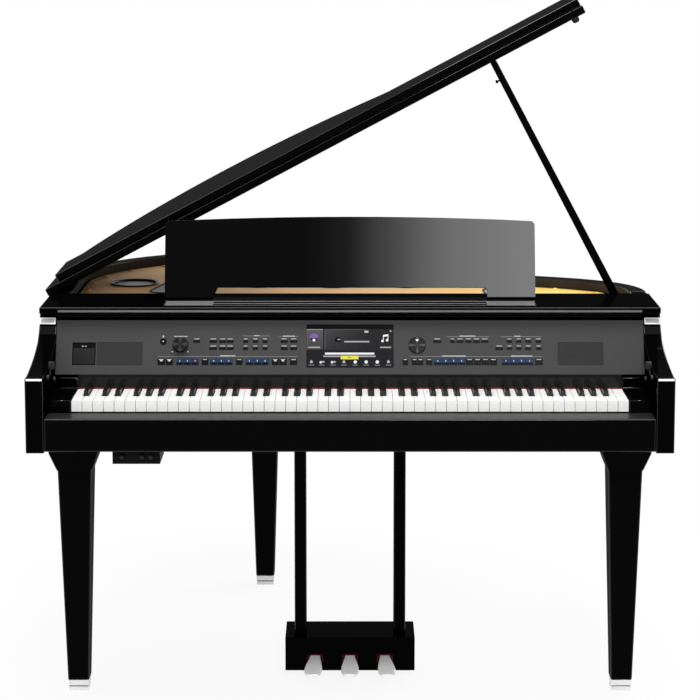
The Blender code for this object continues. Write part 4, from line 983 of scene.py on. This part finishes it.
class PIANO_OT_frame_plate(bpy.types.Operator):
    """Paint the frame plate gold, line the rim and set the plate's ring and bolts"""

    bl_idname = "piano.frame_plate"
    bl_label = "Frame plate"

    def execute(self, context):
        gold = gold_paint("frame_gold")
        dress("frame_plate", gold)
        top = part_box("frame_plate")[1].z
        rim_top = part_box("curved_rim")[1].z
        inside = top_outlines("sound_screen")[0]
        lining = ribbon(bmesh.new(), inside, True, top + HAIR, rim_top - 0.001, sizes().lining)
        piece("rim_lining", lining, wood("lining_wood", colours().lining), "case")
        outlines = top_outlines("frame_plate")
        trims = ribbon(bmesh.new(), moved_in(outlines[0], 0.0005), True, top - HAIR, top + 0.0020, 0.003)
        cloths = Sheet()
        for hole in outlines[1:]:
            ribbon(trims, moved_in(hole, -0.0005), True, top - HAIR, top + 0.0020, -0.0035)
            cloths.shape([spot[:] for spot in hole], (1, 1, 1), 1)
        piece("plate_trims", trims, satin("plate_trim_black", (0.006, 0.006, 0.006), 0.5), "case", None,
              40)
        piece("opening_cloths", cloths.bm, cloth("opening_cloth", colours().screen_cloth), "case",
              Matrix.Translation((0, 0, top - 0.0014)))
        self.add_ring(outlines, top)
        self.add_bolts(outlines[0], top, gold)
        return {"FINISHED"}

    def add_ring(self, outlines, top):
        """Black trim ring in the plate's round opening."""
        round_hole = min(outlines[1:], key=lambda line: roundness(line))
        middle = sum(round_hole, Vector((0, 0))) / len(round_hole)
        radius = (round_hole[0] - middle).length
        profile = ((radius - 0.003, -0.003), (radius + 0.004, 0.0004), (radius + 0.005, 0.0030),
                   (radius + 0.003, 0.0044), (radius - 0.001, 0.0036), (radius - 0.003, 0.001))
        ring = bmesh.new()
        sides = 48
        rings = [[ring.verts.new((middle.x + r * math.cos(2 * math.pi * i / sides),
                                  middle.y + r * math.sin(2 * math.pi * i / sides), top + z)) for i in range(sides)]
                 for r, z in profile]
        for a, b in zip(rings, rings[1:] + rings[:1]):
            for i in range(sides):
                j = (i + 1) % sides
                ring.faces.new((a[i], a[j], b[j], b[i]))
        piece("plate_ring", ring, satin("ring_plastic", (0.012, 0.012, 0.013), 0.35, gloss=0.3), "case",
              None, 40)

    def add_bolts(self, outline, top, gold):
        """Bolt heads at even steps round the plate's border."""
        line = moved_in(outline, 0.018)
        spots = even_steps(line, 0.115)
        head = sizes().bolt
        places = [((spot.x, spot.y, top + 0.0014), (head, head, 0.003)) for spot in spots]
        repeated("plate_bolts", places, gold, "case", None, sides=6, taper=0.86)
        washers = [((spot.x, spot.y, top + 0.0003), (head * 1.7, head * 1.7, 0.001)) for spot in spots]
        repeated("plate_washers", washers, gold, "case", None, sides=20, taper=0.94)


def roundness(line):
    """How far a closed line is from a circle."""
    middle = sum(line, Vector((0, 0))) / len(line)
    reach = [(spot - middle).length for spot in line]
    return max(reach) / min(reach)


def moved_in(line, distance):
    """A closed line moved to its left, with straight runs kept straight."""
    count = len(line)
    moved = []
    for i, spot in enumerate(line):
        before = (spot - line[i - 1]).normalized()
        after = (line[(i + 1) % count] - spot).normalized()
        along = before + after
        along = along.normalized() if along.length > 0.01 else after
        side = Vector((-along.y, along.x))
        share = max(0.5, side.dot(Vector((-after.y, after.x))))
        moved.append(spot + side * distance / share)
    return moved


def even_steps(line, step):
    """Spots at even distances along a closed line."""
    lengths = [(b - a).length for a, b in zip(line, line[1:] + line[:1])]
    whole = sum(lengths)
    count = round(whole / step)
    spots = []
    for k in range(count):
        left = whole * k / count
        for a, b, length in zip(line, line[1:] + line[:1], lengths):
            if left <= length:
                spots.append(a.lerp(b, left / length))
                break
            left -= length
    return spots


MM = 0.001
# Control panel, in millimetres: across from its middle, and up its slope from its foot
TOP_ROW = 76.2
SECOND_ROW = 59.8
SMALL_BUTTON_HEIGHT = 5.6
LOWER_ROW = 29.4
LOWER_HEIGHT = 15.0
BOTH = (TOP_ROW, SECOND_ROW)
SMALL_BUTTONS = (
    # middle, width and the rows that hold it
    (-346.9, 15.3, (TOP_ROW,)), (-309.5, 17.3, BOTH), (-288.3, 16.0, BOTH), (-271.2, 16.0, BOTH),
    (-236.2, 11.5, BOTH), (-214.1, 12.0, BOTH), (-192.2, 12.0, BOTH), (-149.1, 16.0, BOTH), (-127.4, 16.0, BOTH),
    (197.5, 18.0, (TOP_ROW,)), (232.0, 10.5, (TOP_ROW,)), (248.8, 16.0, (TOP_ROW,)), (268.0, 14.6, (TOP_ROW,)),
    (286.5, 15.8, (TOP_ROW,)), (305.2, 17.0, (TOP_ROW,)), (337.7, 18.0, (SECOND_ROW,)), (360.7, 12.5, BOTH),
    (381.9, 12.5, BOTH), (403.4, 14.0, BOTH), (426.7, 13.5, BOTH),
)
LOWER_GROUPS = (
    # middle of the first, how many, pitch, width and light
    (-426.3, 2, 18.1, 17.0, None), (-384.2, 1, 17.2, 16.4, "teal"), (-367.0, 1, 17.2, 16.4, "blue"),
    (-349.8, 1, 17.2, 16.4, "violet"), (-327.2, 1, 0.0, 15.0, None), (-307.7, 3, 17.1, 16.4, "blue"),
    (-250.0, 1, 0.0, 15.0, None), (-227.2, 3, 17.7, 16.8, "blue"), (-168.7, 2, 17.3, 16.4, None),
    (-127.4, 1, 0.0, 16.8, None), (124.7, 1, 0.0, 12.5, None), (145.7, 2, 13.4, 12.9, None),
    (179.0, 1, 0.0, 14.5, None), (198.4, 4, 17.9, 17.2, "blue"), (270.0, 4, 17.9, 17.2, None),
    (352.0, 4, 17.8, 17.1, "blue"), (426.7, 1, 0.0, 17.5, None),
)
HAIRLINES = (
    # left end, right end and height
    (-242.0, -180.0, 89.0), (-160.0, -116.0, 88.0), (-434.0, -119.0, 41.4), (219.0, 315.0, 87.4),
    (342.0, 434.0, 87.4), (137.0, 434.0, 41.4),
)
TITLE_DASHES = (
    # middle, height and width
    (-211.0, 89.6, 13.0), (-138.0, 88.6, 27.0), (-276.0, 43.0, 34.0), (266.0, 88.8, 35.0), (379.0, 88.4, 14.0),
    (235.0, 42.6, 53.0), (388.0, 42.6, 47.0), (-383.0, 88.0, 30.0),
)
POWER_BUTTON = (-422.6, 75.8, 7.6)
KNOB_LIMITS = ((-402.0, 52.6), (-366.5, 52.6))


class PIANO_OT_control_panel(bpy.types.Operator):
    """Finish the control panel and set its buttons, marks, knobs and grilles"""

    bl_idname = "piano.control_panel"
    bl_label = "Control panel"

    def execute(self, context):
        dress("control_panel", satin("panel_plastic", colours().panel, gloss=0.03))
        self.add_buttons()
        self.add_marks()
        self.add_grilles()
        self.add_device_bay()
        # The dial's lighter sectors are a painted sheen on its black face.
        dial = sector_disc("dial_plastic", "volume_turn", (0.002, 0.002, 0.002), (0.030, 0.030, 0.031), 4, 0.30)
        refined("volume_dial", dial, 0.0004, smooth=50)
        pad = sector_disc("pad_plastic", "pad_press", (0.002, 0.002, 0.002), (0.060, 0.060, 0.062), 4, 0.10)
        refined("four_way_pad", pad, 0.0004, smooth=50)
        self.add_knob_trims()
        return {"FINISHED"}

    def add_buttons(self):
        rise = sizes().button_rise
        black = satin("button_plastic", colours().button, 0.3, 200.0, gloss=0.05)
        small = [((x * MM, row * MM, rise / 2 - 0.0003), (width * MM, SMALL_BUTTON_HEIGHT * MM, rise))
                 for x, width, rows in SMALL_BUTTONS for row in rows]
        lower = []
        lit = {}
        for first, count, pitch, width, light in LOWER_GROUPS:
            for k in range(count):
                x = (first + k * pitch) * MM
                lower.append(((x, LOWER_ROW * MM, rise / 2 - 0.0003), (width * MM, LOWER_HEIGHT * MM, rise)))
                if light:
                    spot = (x, (LOWER_ROW + 2.4) * MM, rise - 0.0003 + HAIR / 2)
                    lit.setdefault(light, []).append((spot, (width * MM * 0.94, LOWER_HEIGHT * MM * 0.58, HAIR * 2)))
        repeated("panel_buttons", small + lower, black, "case", PANEL, taper=0.93)
        for light, places in lit.items():
            tint = getattr(colours(), light + "_light")
            repeated(light + "_lights", places, plain_glow(light + "_light", tint, 1.0), "case",
                     PANEL, taper=1.0)
        x, y, width = POWER_BUTTON
        repeated("power_button", [((x * MM, y * MM, rise / 2), (width * MM * 1.41, width * MM * 1.41, rise * 1.2))],
                 black, "case", PANEL, sides=28, taper=0.9)

    def add_marks(self):
        """Plain dashes and hairlines where a panel carries print."""
        rise = sizes().button_rise
        paint = satin("mark_paint", colours().mark, 0.5, 300.0)
        faint = satin("hairline_paint", (0.16, 0.16, 0.165), 0.5, 300.0)
        dashes = []
        for x, width, rows in SMALL_BUTTONS:
            for row in rows:
                dashes.append((x, row + 5.9, width * 0.72, 1.5, 0.0))
        for x, y, width in TITLE_DASHES:
            dashes.append((x, y, width, 1.7, 0.0))
        for first, count, pitch, width, light in LOWER_GROUPS:
            for k in range(count):
                x = first + k * pitch
                if light:
                    dashes.append((x, LOWER_ROW + 1.6, 1.8, 3.6, rise))
                else:
                    dashes.append((x, LOWER_ROW + 4.6, width * 0.62, 1.5, rise))
        for first, count, pitch, width, light in (LOWER_GROUPS[0], LOWER_GROUPS[8]):
            for k in range(count):
                dashes.append((first + k * pitch, LOWER_ROW + 2.6, 5.4, 4.4, rise))
        for x, y in KNOB_LIMITS:
            dashes.append((x, y, 3.6, 2.2, 0.0))
        x, y, width = POWER_BUTTON
        dashes.append((x, y + 12.0, 3.4, 4.6, 0.0))
        dashes.append((x, y + 0.4, 2.4, 3.0, rise * 1.1))
        places = [((x * MM, y * MM, up + HAIR / 2), (width * MM, height * MM, HAIR * 2))
                  for x, y, width, height, up in dashes]
        repeated("panel_marks", places, paint, "case", PANEL, taper=1.0)
        lines = [(((a + b) / 2 * MM, y * MM, HAIR / 4), ((b - a) * MM, 1.1 * MM, HAIR)) for a, b, y in HAIRLINES]
        repeated("panel_hairlines", lines, faint, "case", PANEL, taper=1.0)

    def add_grilles(self):
        """Fine holes over the two loudspeaker grilles, which sit a little below the panel's face. The holes are dark
        hexagons on the grille: painted shade where the holes are.
        """
        pitch = sizes().grille_pitch
        hole = satin("grille_hole", (0.004, 0.004, 0.004), 0.8)
        shade = satin("grille_plastic", colours().grille, 0.5, gloss=0.03)
        inverse = PANEL.inverted()
        for label in ("left", "right"):
            node = label + "_speaker_grille"
            dress(node, shade)
            corners = [inverse @ vert.co for vert in NODES[node].data.vertices]
            low = Vector([min(corner[i] for corner in corners) for i in range(3)])
            high = Vector([max(corner[i] for corner in corners) for i in range(3)])
            across = int((high.x - low.x) / pitch) - 1
            up = int((high.y - low.y) / pitch) - 1
            middle = (low + high) / 2
            places = [((middle.x + (i - across / 2) * pitch, middle.y + (j - up / 2) * pitch, high.z),
                       (pitch * 0.42, pitch * 0.42, HAIR)) for i in range(across + 1) for j in range(up + 1)]
            repeated(label + "_grille_holes", places, hole, "case", PANEL, sides=6, taper=1.0)

    def add_device_bay(self):
        """The bay's glossy window, its door and the pale line round it, a painted highlight along the bay's edge."""
        dress("device_bay", satin("bay_plastic", (0.002, 0.002, 0.0022), 0.3, gloss=0.04))
        inverse = PANEL.inverted()
        corners = [inverse @ vert.co for vert in NODES["device_bay"].data.vertices]
        low = Vector([min(corner[i] for corner in corners) for i in range(3)])
        high = Vector([max(corner[i] for corner in corners) for i in range(3)])
        door = block(bmesh.new(), (low.x + 0.0022, low.y + 0.0020, high.z - 0.0003),
                     (high.x - 0.0022, low.y + 0.0395, high.z + 0.0009), 0.0004)
        piece("bay_door", door, satin("bay_door_plastic", (0.014, 0.014, 0.0145), 0.5, gloss=0.04), "case", PANEL, 40)
        edge = 0.0009
        edge_highlight_lines = [(((low.x + high.x) / 2, low.y - edge, HAIR / 4), (high.x - low.x + 4 * edge, edge, HAIR)),
                       (((low.x + high.x) / 2, high.y + edge, HAIR / 4), (high.x - low.x + 4 * edge, edge, HAIR)),
                       ((low.x - edge, (low.y + high.y) / 2, HAIR / 4), (edge, high.y - low.y + 2 * edge, HAIR)),
                       ((high.x + edge, (low.y + high.y) / 2, HAIR / 4), (edge, high.y - low.y + 2 * edge, HAIR))]
        repeated("bay_outline", edge_highlight_lines, satin("outline_paint", (0.065, 0.065, 0.067), 0.5), "case",
                 PANEL, taper=1.0)
        chevrons = [(((high.x + low.x) / 2 + shift, high.y - 0.0085, high.z + HAIR / 2), (0.0040, 0.0016, HAIR * 2))
                    for shift in (-0.0035, 0.0035)]
        repeated("bay_marks", chevrons, satin("bay_mark_paint", (0.5, 0.5, 0.5), 0.5), "case", PANEL,
                 taper=1.0)

    def add_knob_trims(self):
        """Dark rings in the panel round the dial and the four-way pad, painted shade where the grooves round them
        lie, and the pad's pale mark.
        """
        dark = satin("trim_plastic", (0.003, 0.003, 0.003), 0.4, gloss=0.2)
        inverse = PANEL.inverted()
        for name, node, joint, radius in (("dial_trim", "volume_dial", "volume_turn", 0.0182),
                                          ("pad_trim", "four_way_pad", None, 0.0200)):
            middle = inverse @ (Vector(JOINTS[joint]["pos_m"]) if joint else box_middle(node))
            painted_light_mesh = bmesh.new()
            sides = 40
            profile = ((radius - 0.0011, -HAIR / 2), (radius + 0.0008, -HAIR / 2), (radius + 0.0006, 0.0007),
                       (radius - 0.0009, 0.0007))
            rings = [[painted_light_mesh.verts.new((middle.x + r * math.cos(2 * math.pi * i / sides),
                                      middle.y + r * math.sin(2 * math.pi * i / sides), z)) for i in range(sides)]
                     for r, z in profile]
            for a, b in zip(rings, rings[1:] + rings[:1]):
                for i in range(sides):
                    j = (i + 1) % sides
                    painted_light_mesh.faces.new((a[i], a[j], b[j], b[i]))
            piece(name, painted_light_mesh, dark, "case", PANEL, 40)
        low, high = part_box("four_way_pad")
        middle = inverse @ box_middle("four_way_pad")
        top = max((inverse @ vert.co).z for vert in NODES["four_way_pad"].data.vertices)
        mark = Sheet()
        mark.shape([(-0.0040, 0.0128), (0.0, 0.0078), (0.0040, 0.0128)], (0.75, 0.75, 0.75), 1)
        mark.disc(0.0, 0.0, 0.0042, (0.003, 0.003, 0.003), 1)
        matrix = PANEL @ Matrix.Translation((middle.x, middle.y, top + HAIR * 0.6))
        piece("pad_mark", mark.bm, tinted("pad_mark_paint"), "four_way_pad", matrix)


def tinted(name):
    """Print whose colour is read from the mesh."""
    finish = Finish(name)
    return finish.close(finish.add("Attribute", {"attribute_name": "tint"}), 0.4, Specular_IOR_Level=0.2)


SCREEN_TILE = (0.052, 0.052, 0.055)
SCREEN_DARK = (0.014, 0.014, 0.016)
SCREEN_ICONS = (-87.2, -63.9, -38.4, -13.7, 11.9, 36.5, 61.6, 86.8)
WHITE = (0.9, 0.9, 0.9)
PALE = (0.45, 0.45, 0.47)


class PIANO_OT_display(bpy.types.Operator):
    """Finish the display and draw a plain page of tiles, bars and icons on it"""

    bl_idname = "piano.display"
    bl_label = "Display"

    def execute(self, context):
        refined("display_module", satin("display_frame", (0.001, 0.001, 0.0011), 0.3, 40.0, gloss=0.03), 0.0004)
        inverse = PANEL.inverted()
        corners = [inverse @ vert.co for vert in NODES["display_module"].data.vertices]
        top = max(corner.z for corner in corners)
        page = Sheet()
        self.draw_tiles(page)
        self.draw_bars(page)
        self.draw_icons(page)
        matrix = PANEL @ Matrix.Translation((0, 0, top + HAIR)) @ Matrix.Diagonal((MM, MM, 1, 1))
        piece("screen_page", page.bm, glow("screen_page", "tint", 1.0), "case", matrix)
        return {"FINISHED"}

    def draw_tiles(self, page):
        """Two tiles, each lighter along its top left."""
        def tile_shade(x, y):
            return [c * (1.0 + 1.1 * (y - 56) / 48) for c in SCREEN_TILE]

        def page_shade(x, y):
            level = 0.45 + 0.9 * max(0.0, (y - 20) / 84) * max(0.15, (60 - x) / 120)
            return [c * (0.5 + 2.2 * level * level) + 0.004 for c in SCREEN_DARK]

        page.bar(0.0, 60.6, 194.0, 87.6, SCREEN_DARK, 1)
        for column in range(6):
            for row in range(4):
                width = 155.4 / 6
                height = 48.0 / 4
                page.bar(-57.6 + (column + 0.5) * width, 56.4 + (row + 0.5) * height, width, height, page_shade, 2)
        page.bar(-79.4, 80.9, 36.8, 47.4, tile_shade, 2)
        page.bar(-79.4, 103.6, 36.8, 1.8, (0.30, 0.30, 0.30), 3)
        page.bar(-97.0, 80.9, 1.4, 46.0, (0.13, 0.13, 0.14), 3)
        page.bar(-56.8, 80.9, 1.4, 46.0, (0.12, 0.12, 0.125), 3)
        page.bar(-10.0, 103.8, 92.0, 1.5, (0.10, 0.10, 0.105), 3)
        page.disc(-81.5, 84.5, 10.2, (0.25, 0.12, 0.42), 3, 0, 180)
        page.disc(-81.5, 84.5, 8.4, (0.012, 0.016, 0.06), 4, 190, 350)
        page.disc(-81.5, 79.0, 3.2, WHITE, 5)

    def draw_bars(self, page):
        """Plain bars where a screen carries words, and the two long bars with a yellow button."""
        page.bar(15.4, 75.5, 57.0, 3.4, (0.42, 0.42, 0.43), 4)
        page.bar(-81.0, 62.3, 27.0, 3.2, (0.40, 0.40, 0.41), 4)
        page.bar(80.4, 62.3, 25.0, 3.2, (0.40, 0.40, 0.41), 4)
        page.bar(37.2, 98.6, 9.0, 4.2, (0.62, 0.62, 0.62), 4)
        page.disc(91.8, 100.0, 2.0, PALE, 4)
        page.bar(-0.9, 47.9, 111.4, 4.4, WHITE, 4)
        page.bar(-1.2, 41.7, 118.0, 3.4, (0.40, 0.38, 0.46), 3)
        page.bar(-0.9, 39.0, 40.2, 8.8, (0.80, 0.76, 0.10), 5)
        page.bar(-0.9, 39.0, 8.0, 1.8, (0.30, 0.28, 0.03), 6)

    def draw_icons(self, page):
        """A keyboard lid, a pair of notes, and a row of small plain icons with dashes under them."""
        page.disc(-27.0, 78.0, 8.2, (0.001, 0.001, 0.001), 4, 0, 180)
        page.bar(-27.0, 76.8, 14.0, 3.0, (0.001, 0.001, 0.001), 5)
        page.bar(-25.0, 80.6, 7.0, 2.4, (0.40, 0.40, 0.40), 6)
        page.disc(73.6, 77.0, 3.0, WHITE, 4)
        page.disc(84.0, 78.8, 3.0, WHITE, 4)
        for x, foot in ((75.6, 77.0), (86.0, 78.8)):
            page.bar(x, foot + 6.4, 1.6, 12.6, WHITE, 5)
        page.shape([(74.8, 86.4), (86.8, 88.2), (86.8, 92.8), (74.8, 91.0)], WHITE, 6)
        for i, x in enumerate(SCREEN_ICONS):
            if i in (0, 3, 7):
                page.bar(x, 28.4, 6.0, 4.6, (0.50, 0.50, 0.50), 3)
                page.bar(x, 31.6, 2.6, 2.6, (0.50, 0.50, 0.50), 4)
            elif i in (1, 2):
                page.disc(x - 2.0, 28.0, 2.9, WHITE, 3)
                page.bar(x + 2.4, 28.8, 8.0, 3.6, PALE, 4)
            else:
                page.disc(x, 28.6, 3.8, WHITE, 3)
            page.bar(x, 21.4, 12.5, 1.8, (0.22, 0.22, 0.23), 3)


class PIANO_OT_stage(bpy.types.Operator):
    """Set up the floor, the lights, the surroundings and the camera"""

    bl_idname = "piano.stage"
    bl_label = "Stage"

    def execute(self, context):
        lay_floor()
        light_up()
        surround()
        place_camera()
        context.scene.view_settings.view_transform = "Standard"
        return {"FINISHED"}


FLOOR_SIZE = 40.0
FLOOR_CLEAR = 0.90            # share of plain white in the floor near the piano, the rest shows its shadow


def shows_background(graph):
    """1 for the rays that show the white background: the camera's, and those off gloss and through glass."""
    path = graph.add("LightPath")
    rays = graph.outputs(path, "Is Camera Ray") + graph.outputs(path, "Is Glossy Ray")
    return (rays + graph.outputs(path, "Is Transmission Ray")).maths("MINIMUM", 1.0)


def lay_floor():
    """Pale floor that shows as the white background, and keeps the piano's faint shadow near it."""
    bm = bmesh.new()
    bmesh.ops.create_grid(bm, x_segments=1, y_segments=1, size=FLOOR_SIZE / 2)
    mesh = bpy.data.meshes.new("studio_floor")
    bm.to_mesh(mesh)
    bm.free()
    finish = Finish("studio_floor")
    diffuse = finish.add("BsdfDiffuse", None, (0.86, 0.86, 0.86, 1.0))
    white = finish.add("Emission", None, (1.0, 1.0, 1.0, 1.0), 1.0)
    x, y, _ = finish.axes(finish.place())
    near = (FLOOR_CLEAR, FLOOR_CLEAR, FLOOR_CLEAR)
    reach = finish.ramp((x * x + y * y) * 0.25, (0.10, near), (0.60, (1.0, 1.0, 1.0)))
    shown = finish.add("MixShader", None, shows_background(finish) * reach, diffuse, white)
    finish.add("OutputMaterial", None, Surface=shown)
    mesh.materials.append(finish.material)
    floor = bpy.data.objects.new("studio_floor", mesh)
    floor.location.z = -0.0005
    bpy.context.scene.collection.objects.link(floor)


def soft_light(name, location, target, size, power):
    light = bpy.data.lights.new(name, "AREA")
    light.shape = "RECTANGLE"
    light.size, light.size_y = size
    light.energy = power
    made = bpy.data.objects.new(name, light)
    made.location = location
    made.rotation_euler = (Vector(target) - Vector(location)).to_track_quat("-Z", "Y").to_euler()
    bpy.context.scene.collection.objects.link(made)
    return made


def light_up():
    """A graded soft box in front, which the desk mirrors, a wide one overhead and two fills."""
    key = soft_light("key_light", (0.60, -7.6, 4.2), (0.60, 0, 1.0), (2.0, 1.1), 430.0)
    key.data.use_nodes = True
    graph = Graph(key.data.node_tree)
    key.data.node_tree.nodes.clear()
    split = graph.add("SeparateXYZ", None, graph.outputs(graph.add("NewGeometry"), "Parametric"))
    grade = graph.ramp(split, *KEY_LIGHT_GRADE)
    graph.add("OutputLight", None, graph.add("Emission", None, (1.0, 1.0, 1.0, 1.0), grade))
    soft_light("top_light", (0.0, -1.2, 4.6), (0, 0, 0.8), (3.0, 1.6), 165.0)
    soft_light("fill_light", (-3.2, -3.0, 4.4), (0, 0, 0.8), (2.5, 2.5), 60.0)
    soft_light("back_light", (2.6, 2.4, 3.6), (0, 0.2, 0.9), (2.6, 2.0), 110.0)


KEY_LIGHT_GRADE = ((0.08, (0.0, 0.0, 0.0)), (0.2, (0.04, 0.04, 0.04)), (0.336, (0.32, 0.32, 0.32)),
                   (0.472, (0.72, 0.72, 0.72)), (0.69, (1.0, 1.0, 1.0)))
ROOM_LEVEL = 0.42             # plain light of the room on the object


def surround():
    """A plain pale room, which shows as the white background."""
    world = bpy.data.worlds.new("studio")
    bpy.context.scene.world = world
    world.use_nodes = True
    graph = Graph(world.node_tree)
    world.node_tree.nodes.clear()
    shown = shows_background(graph)
    strength = shown + (1 - shown) * ROOM_LEVEL
    background = graph.add("Background", None, (1.0, 1.0, 1.0, 1.0), strength)
    graph.add("OutputWorld", None, background)


# The camera looks slightly down. Its distances are from the white keys' front faces.
IMAGE_SIDE = 700
FOCAL_PIXELS = 2322.0
CAMERA_HEIGHT = 1.734
CAMERA_BACK = 5.012
CAMERA_TILT = math.radians(7.6)
CAMERA_SHIFT = -0.15


def place_camera():
    data = bpy.data.cameras.new("camera")
    data.lens = FOCAL_PIXELS / IMAGE_SIDE * data.sensor_width
    data.shift_y = CAMERA_SHIFT
    data.clip_end = 100
    camera = bpy.data.objects.new("camera", data)
    camera.location = (0, key_front() - CAMERA_BACK, CAMERA_HEIGHT)
    camera.rotation_euler = (math.pi / 2 - CAMERA_TILT, 0, 0)
    bpy.context.scene.collection.objects.link(camera)
    bpy.context.scene.camera = camera


class PIANO_PT_panel(bpy.types.Panel):
    """Lists the steps that finish the piano"""

    bl_idname = "PIANO_PT_panel"
    bl_label = "Digital grand piano"
    bl_space_type = "VIEW_3D"
    bl_region_type = "UI"
    bl_category = "Piano"

    def draw(self, context):
        for step in STEPS:
            self.layout.operator(step.bl_idname)


STEPS = (PIANO_OT_case, PIANO_OT_lid, PIANO_OT_music_desk, PIANO_OT_legs, PIANO_OT_lyre, PIANO_OT_keyboard,
         PIANO_OT_frame_plate, PIANO_OT_control_panel, PIANO_OT_display, PIANO_OT_stage)
CLASSES = (PianoSizes, PianoColours, *STEPS, PIANO_PT_panel)


def register():
    for made in CLASSES:
        bpy.utils.register_class(made)
    bpy.types.Scene.piano_sizes = PointerProperty(type=PianoSizes)
    bpy.types.Scene.piano_colours = PointerProperty(type=PianoColours)


def unregister():
    del bpy.types.Scene.piano_colours
    del bpy.types.Scene.piano_sizes
    for made in reversed(CLASSES):
        bpy.utils.unregister_class(made)


def main():
    register()
    for step in STEPS:
        group, name = step.bl_idname.split(".")
        getattr(getattr(bpy.ops, group), name)()


if __name__ == "__main__":
    main()
